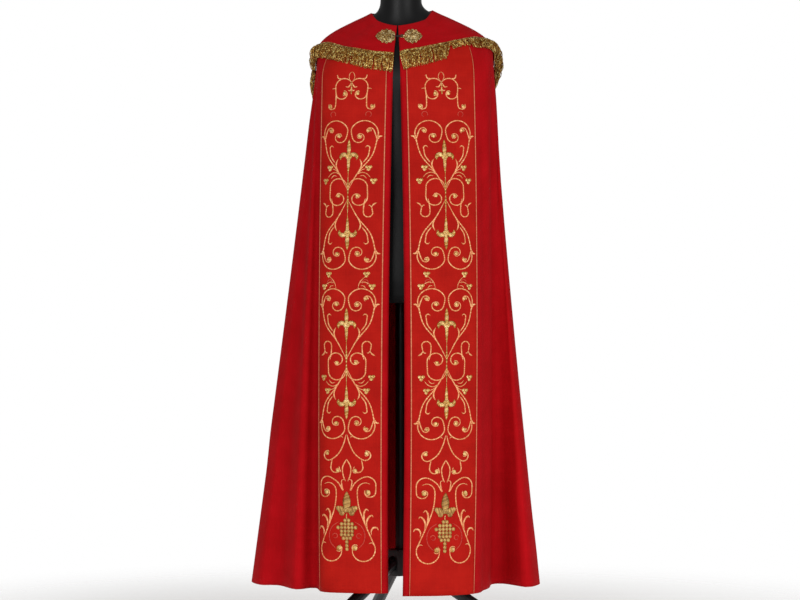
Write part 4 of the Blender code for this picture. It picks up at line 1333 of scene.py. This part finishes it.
# %% How strands differ from each other
ROOT_RANGE = 0.25           # in pitches
LEAN_SPREAD = 0.025
LOFT_RANGE = (0.02, 1.12)
LENGTH_RANGE = (0.95, 1.03)
LAYER_RANGE = 0.0008
RUCKED_RANGE = (-1.4, 0.6)
SWAY_SPREAD = 0.0007
SWAY_FROM_LOFT = 0.14
BEAT_RANGE = (0.6, 1.4)
PHASE_RANGE = 6.28          # a whole turn

rng = np.random.default_rng(7)

# %% Places off the cloth


def surface_tree(grid):
    """A search tree, which finds the spot of a surface that is nearest or on a ray."""
    return BVHTree.FromPolygons(grid.reshape(-1, 3).tolist(), grid_faces(*grid.shape[:2]))


cloth_tree = surface_tree(cloth)


def off_cloth(point, distance):
    """The place at a distance outside the mantle, above the spot nearest to a point."""
    spot, normal, _, _ = cloth_tree.find_nearest(Vector(point))
    return np.array(spot + normal * distance), np.array(normal)


# %% Bullion thread
# The turns of real wire are finer than a millimetre. They would not show, so the
# painted glints are drawn a little over 2 mm wide.
GLINT_MM = 20 / 9           # nine glints in 20 mm
CLOUD_GLINTS = 6            # a cloud of tone is as wide as six glints


def bullion(name, dark, middle, light, glint_mm):
    """Gilt wire thread: painted glints, and painted shade in its dark gaps, each as wide as a glint.
    """
    material, tree, shader = new_material(name, Metallic=0.62, Roughness=0.34)
    where = add_node(tree, "TexCoord").outputs["Object"]
    cells = add_node(tree, "TexVoronoi", {"Vector": where, "Scale": 1000 / glint_mm})
    parts = add_node(tree, "SeparateColor", {0: cells.outputs["Color"]})
    cloud = add_node(tree, "TexNoise", {
        "Vector": where, "Scale": 1000 / glint_mm / CLOUD_GLINTS, "Detail": 2.0})
    tone = add_node(tree, "Mix", {
        0: 0.3, 2: parts.outputs[0], 3: cloud.outputs[0]}, data_type="FLOAT")
    # The ramp paints light into the colour: its pale end is a painted glint, its dark end painted
    # shade between the turns.
    ramp = add_node(tree, "ValToRGB", {"Fac": tone.outputs[0]})
    stops = ramp.color_ramp.elements
    stops[0].position, stops[0].color = 0.30, colour(dark)
    stops[1].position, stops[1].color = 0.84, colour(light)
    stops.new(0.62).color = colour(middle)
    gloss = add_node(tree, "MapRange", {
        "Value": parts.outputs[1], "To Min": 0.22, "To Max": 0.55})
    bump = add_node(tree, "Bump", {
        "Height": cells.outputs["Distance"], "Distance": 0.0005, "Strength": 0.8})
    tree.links.new(ramp.outputs["Color"], shader.inputs["Base Color"])
    tree.links.new(gloss.outputs["Result"], shader.inputs["Roughness"])
    tree.links.new(bump.outputs["Normal"], shader.inputs["Normal"])
    return material


# Fringe thread, with painted glints and painted shade between its turns.
gilt_bullion = bullion("gilt_wire_bullion_twist_painted_glints_and_shade", "#79450c", "#bc812c", "#fff09a", GLINT_MM)
print("fringe thread:", gilt_bullion.name)

# %% Places along the hood's edge
edge_lengths = lengths_along(hood_edge)
root_gap = HOOD_LIFT + HOOD_WALL + FRINGE_GAP
# Where the fringe stands off the shoulders it is a thick roll, so its roots crowd.
from_ends = {"left": edge_lengths, "right": edge_lengths[-1] - edge_lengths}
crowd = 1.0 + sum(
    np.interp(from_ends[side_name], *list(zip(*table))[:2]) for side_name, table
    in FRINGE_SHAPE.items()) / CROWDING_MM
crowded = np.concatenate([[0.0], np.cumsum((crowd[1:] + crowd[:-1]) / 2 * np.diff(edge_lengths))])
strand_count = int(crowded[-1] / FRINGE_PITCH)
print("roots stand up to %.1f times as close where the fringe is a thick roll" % crowd.max())


def edge_at(distance):
    return np.array([np.interp(distance, edge_lengths, hood_edge[:, k]) for k in range(3)])


# %% One strand of the fringe
def strand(index):
    """Rings of points for one strand, from its root down to its tip."""
    order = (index + 0.5 + rng.uniform(-ROOT_RANGE, ROOT_RANGE)) / strand_count
    at = np.interp(order * crowded[-1], crowded, edge_lengths)
    root, ahead = edge_at(at), edge_at(at + FRINGE_PITCH)
    along = (ahead - root) / max(np.linalg.norm(ahead - root), 1e-9)
    _, normal = off_cloth(root, root_gap)
    square = np.cross(along, normal)
    square *= -1 if square[2] > 0 else 1
    down = np.array([0.0, 0.0, -1.0])
    down -= normal * down.dot(normal)
    down /= np.linalg.norm(down)
    way = mix(down, square, FRINGE_SPLAY) + along * rng.normal(0.0, LEAN_SPREAD)
    from_end = edge_lengths[-1] - at
    side_name, distance = ("left", at) if at < from_end else ("right", from_end)
    places, lofts, lengths = zip(*FRINGE_SHAPE[side_name])
    loft = np.interp(distance, places, lofts) / 1000 * rng.uniform(*LOFT_RANGE)
    length = FRINGE_LENGTH * np.interp(distance, places, lengths) * rng.uniform(*LENGTH_RANGE)
    layer = STRAND_LAYER * (index % 3) / 2 + rng.uniform(0.0, LAYER_RANGE)
    rucked = side_name == "right" and RUCKED[0] < distance < RUCKED[1]
    way += along * (rng.uniform(*RUCKED_RANGE) if rucked else 0.0)
    way /= np.linalg.norm(way)
    sway = rng.normal(0.0, SWAY_SPREAD + SWAY_FROM_LOFT * loft)
    beat, phase = rng.uniform(*BEAT_RANGE), rng.uniform(0, PHASE_RANGE)
    angle = np.arange(STRAND_SIDES) * 2 * math.pi / STRAND_SIDES
    rings = []
    for s in np.linspace(0.0, 1.0, STRAND_SECTIONS):
        aim = root + way * length * s + along * sway * math.sin(math.pi * beat * s) * s * 2
        arch = math.sin(0.8 * math.pi * s ** 0.8)
        gap = root_gap * mix(1.0, TIP_GAP_SHARE, ease(s)) + layer + loft * arch
        place, facing = off_cloth(aim, gap)
        across = np.cross(facing, way)
        across /= np.linalg.norm(across)
        turn = phase + 2 * math.pi * STRAND_TURNS * s
        size = mix(1.0, STRAND_TAPER, s ** 6) * (1.0 if s < 1 else STRAND_TIP)
        wide = across * math.cos(turn) + facing * math.sin(turn)
        thin = facing * math.cos(turn) - across * math.sin(turn)
        rings.append(place + size * (
            np.outer(np.cos(angle), wide) * STRAND_WIDE + np.outer(np.sin(angle), thin) * STRAND_THIN))
    return np.concatenate(rings)


# %% All strands
strands = Gathered()
for index in range(strand_count):
    strands.gather(strand(index), tube_faces(STRAND_SECTIONS, STRAND_SIDES))
fringe = strands.piece("bullion_fringe", gilt_bullion, "gold_bullion")
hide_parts("hood_fringe")
print("strands of fringe:", strand_count, "faces:", len(strands.faces))

# %% [markdown]
# ### The fringe's heading
# The strands hang from a narrow woven braid that is sewn along the hood's edge. It
# is a slim ribbon here, with its threads as small slanting ridges, thick in the
# middle and thin at its two edges.

# %% Heading braid
HEADING_HEIGHT = 0.009
HEADING_WALL = 0.0012
HEADING_STEP = 0.0016
HEADING_SECTION = (
    # height share, thickness share
    (0.0, 0.35), (0.25, 0.9), (0.5, 1.0), (0.75, 0.9), (1.0, 0.35),
)
HEADING_RIDGES = 3          # steps from one ridge to the next
HEADING_RIDGE_DEPTH = 0.25  # a ridge rises by twice this share of the wall
HEADING_SLANT = 1.5         # how many ridges a line straight across the braid meets

hood_tree = surface_tree(hood_cloth)
heading_count = int(edge_lengths[-1] / HEADING_STEP)
rings = []
for index in range(heading_count + 1):
    place = edge_at(edge_lengths[-1] * index / heading_count)
    face_ring, back_ring = [], []
    for height_share, wall_share in HEADING_SECTION:
        aim = place + np.array([0.0, 0.0, HEADING_HEIGHT * height_share])
        spot, normal, _, _ = hood_tree.find_nearest(Vector(aim))
        turns = index / HEADING_RIDGES + height_share * HEADING_SLANT
        ridge = mix(1.0, math.cos(2 * math.pi * turns), HEADING_RIDGE_DEPTH)
        back_ring.append(spot + normal * SEAM_GAP)
        face_ring.append(spot + normal * (SEAM_GAP + HEADING_WALL * wall_share * ridge))
    rings.append(face_ring + back_ring[::-1])
faces = tube_faces(*np.shape(rings)[:2], flip=True)
# The braid is finished in the bullion thread, with its painted glints and painted shade.
heading = add_piece("fringe_heading", rings, faces, gilt_bullion)
print("heading braid:", len(faces), "faces")

# %% [markdown]
# ## The clasp
# Two leaves of stiff gilt braid are sewn to the hood, and a black hook and eye
# join them. Each leaf is worked like a thistle: a cord runs round a scalloped
# outline, ribs fan out from the root, and small knots fill the spaces.

# %% Clasp sizes
CLASP_RISE = 1.3570
LEAVES = {
    # side    root x, direction, the stem's length, the whole length
    "left": (-0.0150, -1, 0.000, 0.0465),
    "right": (-0.0010, 1, 0.010, 0.0520),
}
LEAF_HALF_HEIGHT = 0.0195
LEAF_STEM_HALF = 0.0035
LEAF_WALL = 0.0016
LEAF_STEPS = 44
LEAF_ACROSS = 13
LEAF_ROOT_SHARE = 0.16      # how far round its curve the bud has come at its root
LEAF_SCALLOPS = 9           # half waves along its outline
LEAF_SCALLOP_DEPTH = 0.10
LEAF_TIP_HALF = 0.0004
LEAF_RIBS = 5               # waves from edge to edge
LEAF_RIB_DEPTH = 0.25       # as a share of the wall
LEAF_EDGE_WALL = 0.25       # as a share of the wall
CORD_RADIUS = 0.0011
CORD_SIDES = 6
CORD_STEP = 0.03            # in the shares that a cord's places are given in
CORD_SWELL = 0.18           # as a share of the radius
CORD_SWELL_TURN = 2.1       # radians from one step to the next
KNOT_RADIUS = 0.0019
KNOT_SIDES = 8
KNOT_RINGS = ((1.0, 0.0), (0.95, 0.45), (0.6, 0.9))


def on_hood(x, rise, lift):
    """A point in front of the hood, given its width and height, at a lift off the cloth."""
    start = Vector((x + NECK_AXIS[0], -1.0, HEM_HEIGHT + rise))
    spot, normal, _, _ = hood_tree.ray_cast(start, Vector((0, 1, 0)))
    return np.array(spot + normal * lift)


# %% A leaf of braid
class Passementerie(Gathered):
    """Gathers the body, cords and knots of one leaf; places are shares of its size."""

    def __init__(self, root, direction, stem, length):
        super().__init__()
        self.root, self.stem = root, stem / length
        self.way = direction * length

    def half_height(self, share):
        """Half the leaf's height: a narrow stem, a round bud, scallops and a sharp tip."""
        bud = np.clip((share - self.stem) / (1 - self.stem), 0.0, 1.0)
        body = np.sin(math.pi * mix(LEAF_ROOT_SHARE, 1.0, bud) ** 1.1) ** 0.8
        scallop = mix(1.0, np.cos(LEAF_SCALLOPS * math.pi * bud), LEAF_SCALLOP_DEPTH)
        half = LEAF_HALF_HEIGHT * body * scallop
        return np.where(share < self.stem, LEAF_STEM_HALF, np.maximum(half, LEAF_TIP_HALF))

    def spot(self, share, part):
        """The width and height of a share along the leaf and a part of its half height."""
        return (self.root + self.way * share,
                CLASP_RISE + part * float(self.half_height(share)))

    def body(self):
        front, back = [], []
        for share in np.linspace(0.0, 1.0, LEAF_STEPS):
            for part in np.linspace(-1.0, 1.0, LEAF_ACROSS):
                rib = LEAF_RIB_DEPTH * math.cos(part * math.pi * LEAF_RIBS) * (1 - abs(part))
                arch = math.sqrt(max(0.0, 1 - part ** 2))
                full = LEAF_WALL * (mix(LEAF_EDGE_WALL, 1.0, arch) + rib)
                front.append(on_hood(*self.spot(share, part), SEAM_GAP + full))
                back.append(on_hood(*self.spot(share, part), SEAM_GAP))
        self.gather(front + back, sheet_faces(LEAF_STEPS, LEAF_ACROSS, flip=self.way > 0))

    def cord(self, route, radius=CORD_RADIUS, lift=0.0):
        """A round cord through places given as (share along, part of the half height)."""
        route = smooth_line(route, CORD_STEP)
        line = np.array([on_hood(*self.spot(a, b), SEAM_GAP + radius + lift) for a, b in route])
        way = np.gradient(line, axis=0)
        way /= np.linalg.norm(way, axis=1, keepdims=True) + 1e-12
        side = np.cross(way, np.array([0.0, 1.0, 0.0]))
        side /= np.linalg.norm(side, axis=1, keepdims=True) + 1e-12
        out = np.cross(side, way)
        angle = np.arange(CORD_SIDES) * 2 * math.pi / CORD_SIDES
        swell = radius * (1 + CORD_SWELL * np.cos(np.arange(len(line)) * CORD_SWELL_TURN))
        rings = line[:, None] + swell[:, None, None] * (
            np.cos(angle)[None, :, None] * side[:, None]
            + np.sin(angle)[None, :, None] * out[:, None])
        self.gather(rings, tube_faces(len(line), CORD_SIDES, flip=True))

    def knot(self, share, part, radius, lift):
        """A round knot of thread, flat where it is sewn down."""
        x, rise = self.spot(share, part)
        points = []
        for reach, height in KNOT_RINGS:
            for k in range(KNOT_SIDES):
                angle = 2 * math.pi * k / KNOT_SIDES
                points.append(on_hood(x + radius * reach * math.cos(angle),
                                      rise + radius * reach * math.sin(angle),
                                      SEAM_GAP + lift + radius * height))
        points.append(on_hood(x, rise, SEAM_GAP + lift + radius))
        self.gather(points, dome_faces(len(KNOT_RINGS), KNOT_SIDES))

# %% Braid, and the places of its curls and knots
BRAID_GLINT_MM = 50 / 23    # 23 glints in 50 mm
# The braid's colour holds painted glints and painted shade between its turns.
gilt_braid = bullion(
    "gilt_wire_braid_passementerie_painted_glints_and_shade", "#75501e", "#c49e5c", "#fff0bc", BRAID_GLINT_MM)

CURLS = [
    [(0.30, 0.10), (0.42, 0.42), (0.62, 0.46), (0.66, 0.18), (0.54, 0.12), (0.52, 0.26)],
    [(0.36, 0.62), (0.46, 0.84), (0.60, 0.86), (0.64, 0.66), (0.56, 0.60)],
    [(0.72, 0.30), (0.80, 0.62), (0.90, 0.40), (0.86, 0.10), (0.78, 0.14)],
]
OUTLINE_FROM = 0.03         # shares of the leaf; the first one counts from the stem
OUTLINE_TO = 0.985
OUTLINE_PART = 0.96         # of the half height
OUTLINE_SPACES = 15
KNOTS_FROM = 0.03           # from where the outline starts
KNOTS_TO = 0.93
KNOTS_PART = 0.92           # of the half height
KNOTS_LIFT = 0.5            # in walls
KNOT_COUNT = 11
KNOT_LARGER = 0.25          # every second knot is larger by this share
CURL_THINNER = 0.9          # of the cord's radius
MIDDLE_KNOTS = [
    # share along the bud, size in radii, lift in walls
    (0.52, 1.9, 1.0),
    (0.94, 1.1, 0.6),
]
print("knots on the edge of a leaf:", 2 * KNOT_COUNT)

# %% Work both leaves
for side_name, leaf_sizes in LEAVES.items():
    leaf = Passementerie(*leaf_sizes)
    leaf.body()
    start = leaf.stem + OUTLINE_FROM
    for sign in (1, -1):
        outline = [(mix(start, OUTLINE_TO, k / OUTLINE_SPACES), OUTLINE_PART * sign)
                   for k in range(OUTLINE_SPACES + 1)]
        leaf.cord(outline + [(1.0, 0.0)])
        for k in range(KNOT_COUNT):
            share = mix(start + KNOTS_FROM, KNOTS_TO, k / (KNOT_COUNT - 1))
            leaf.knot(share, KNOTS_PART * sign,
                      KNOT_RADIUS * (1.0 + KNOT_LARGER * (k % 2)), LEAF_WALL * KNOTS_LIFT)
        for curl in CURLS:
            leaf.cord([(mix(leaf.stem, 1.0, a), b * sign) for a, b in curl],
                      CORD_RADIUS * CURL_THINNER, LEAF_WALL)
    for share, size, lift in MIDDLE_KNOTS:
        leaf.knot(mix(leaf.stem, 1.0, share), 0.0, KNOT_RADIUS * size, LEAF_WALL * lift)
    for sign in (1, -1):
        leaf.cord([(0.0, 0.4 * sign), (leaf.stem + 0.12, 0.05 * sign),
                   (mix(leaf.stem, 1.0, 0.45), 0.0)], CORD_RADIUS, LEAF_WALL)
    piece = leaf.piece("braid_leaf_" + side_name, gilt_braid, "clasp_gold")
    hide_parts("clasp_leaf_" + side_name)
    print("braid leaf", side_name, "has", len(leaf.faces), "faces")

# %% [markdown]
# ## Hard parts
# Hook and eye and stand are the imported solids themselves. They only need finishes.
# The dress form is made again from more rings, because a neck shows flat facets
# sooner than cloth does. It is a moulded shell of black glass-fibre polyester, and
# its satin gel coat shows the lamps as wide soft bands. The stand is steel tube with
# a powder coat, whose fine grain blurs them, and its moulded rubber feet stay dull.
# Hook and eye are steel wire, japanned: a brown-black varnish with a small glint.

# %% A hard coating
WEAR_MM = 1000 / 9          # nine patches of wear in a metre


def coated(name, dark, light, roughness, coat, grain, grain_mm, **more):
    """A hard coating: two close tones in patches of wear, and a fine grain that roughens the gloss."""
    material, tree, shader = new_material(
        name, IOR=1.5, Coat_Weight=coat, Coat_Roughness=0.08, **more)
    where = add_node(tree, "TexCoord").outputs["Object"]
    grit = add_node(tree, "TexNoise", {
        "Vector": where, "Scale": 1000 / grain_mm, "Detail": 3.0})
    wear = add_node(tree, "TexNoise", {
        "Vector": where, "Scale": 1000 / WEAR_MM, "Detail": 5.0})
    ramp = add_node(tree, "ValToRGB", {"Fac": wear.outputs[0]})
    stops = ramp.color_ramp.elements
    stops[0].position, stops[0].color = 0.35, colour(dark)
    stops[1].position, stops[1].color = 0.70, colour(light)
    gloss = add_node(tree, "MapRange", {
        "Value": grit.outputs[0], "To Min": roughness * 0.8, "To Max": roughness * 1.25})
    bump = add_node(tree, "Bump", {
        "Height": grit.outputs[0], "Distance": grain, "Strength": 0.5})
    tree.links.new(ramp.outputs["Color"], shader.inputs["Base Color"])
    tree.links.new(gloss.outputs["Result"], shader.inputs["Roughness"])
    tree.links.new(bump.outputs["Normal"], shader.inputs["Normal"])
    return material


# %% Black coatings
black_gelcoat = coated("black_gelcoat_fibreglass", "#060607", "#0b0b0c", 0.42, 0.0, 0.0001, 5.0,
                       Specular_IOR_Level=0.22)
black_powder = coated("black_powder_coated_steel", "#0c0c0d", "#171719", 0.38, 0.10, 0.0002, 1.2)
black_rubber = coated("black_moulded_rubber", "#101011", "#1c1c1d", 0.78, 0.0, 0.0004, 1.6)
japanned_wire = coated("black_japanned_steel_wire", "#1a1412", "#2c2420", 0.32, 0.2, 0.0001, 1.0)
print("last coating made:", japanned_wire.name)

# %% [markdown]
# ### The dress form
# The form is a limbless torso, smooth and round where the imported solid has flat
# facets. It is a stack of rings: the neck, a collar that spreads out from it, the
# shoulders just inside the cloth, and level ovals from the bust down to the hip.

# %% Sizes of the form
FORM_CLEARANCES = (0.0020, 0.0020, 0.0020, 0.0024, 0.0024, 0.0016, 0.0009, 0.0009)
FORM_NECK = (
    # radius, height above the hem
    (0.0460, 1.5000), (0.0490, 1.4993), (0.0508, 1.4976), (0.0515, 1.4950), (0.0515, 1.4550),
)
FORM_COLLAR_LIFT = 0.010
FORM_COLLAR_RINGS = 9
FORM_LINE_STEP = 3          # the form uses every third line of the cloth
FORM_SHARES = (0.33, 0.67, 1.0)     # rings on the way from one section to the next
FORM_SECTIONS = (
    # height above the hem, half width, half depth
    (1.160, 0.166, 0.108), (1.070, 0.156, 0.102), (0.960, 0.134, 0.092),
    (0.860, 0.156, 0.104), (0.760, 0.168, 0.112), (0.700, 0.160, 0.106),
)
print("the form ends %.3f m above the floor" % (HEM_HEIGHT + FORM_SECTIONS[-1][0]))

# %% Shoulders of the form
shoulders = slice(None, ROWS_SHOULDER + 1), slice(None, None, FORM_LINE_STEP)
upper = base_cloth[shoulders]
rows = np.linspace(0, len(FORM_CLEARANCES) - 1, ROWS_SHOULDER + 1)
depths = MANTLE_WALL + np.interp(rows, range(len(FORM_CLEARANCES)), FORM_CLEARANCES)
under = upper - grid_normals(base_cloth)[shoulders] * depths[:, None, None]
flat_neck = upper[0, :, :2] - NECK_AXIS
angle = np.arctan2(flat_neck[:, 0], -flat_neck[:, 1])
print("points in a ring of the form:", len(angle))

# %% Neck, collar and torso


def form_ring(half_width, half_depth, rise, angle):
    """An oval ring of the form, level at a height above the hem."""
    plan = np.column_stack([half_width * np.sin(angle), -half_depth * np.cos(angle)])
    return np.column_stack([plan + NECK_AXIS, np.full(len(angle), HEM_HEIGHT + rise)])


rings = [form_ring(radius, radius, rise, angle) for radius, rise in FORM_NECK]
foot, edge = rings[-1], under[0]
corner_ring = foot.copy()
corner_ring[:, 2] = edge[:, 2] + FORM_COLLAR_LIFT
for t in np.linspace(0.0, 1.0, FORM_COLLAR_RINGS)[1:-1]:
    rings.append(mix(mix(foot, corner_ring, t), mix(corner_ring, edge, t), t))
rings += list(under)
chest = under[-1]
chest_angle = np.arctan2(
    (chest[:, 0] - NECK_AXIS[0]) / CHEST_WIDTHS["left"], -(chest[:, 1] - NECK_AXIS[1]) / CHEST_FRONT)
for rise, half_width, half_depth in FORM_SECTIONS:
    section = form_ring(half_width, half_depth, rise, chest_angle)
    rings += [mix(rings[-1], section, t) for t in FORM_SHARES]
rings = np.array(rings)[:, ::-1]        # the other way round, so that the faces look out
faces = tube_faces(*rings.shape[:2])
dress_form = add_piece("dress_form_shell", rings, faces, black_gelcoat)
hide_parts("form_torso")
print("dress form:", len(faces), "faces")

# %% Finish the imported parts
HARD_FINISHES = {
    "stand_foot": black_rubber, "stand_": black_powder,
    "clasp_": japanned_wire,
}
for node_name, node in sorted(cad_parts.items()):
    if node.hide_render:
        continue
    finish = next(m for start, m in HARD_FINISHES.items() if node_name.startswith(start))
    for slot in node.material_slots:
        slot.material = finish
    print(node_name, "is finished in", finish.name)
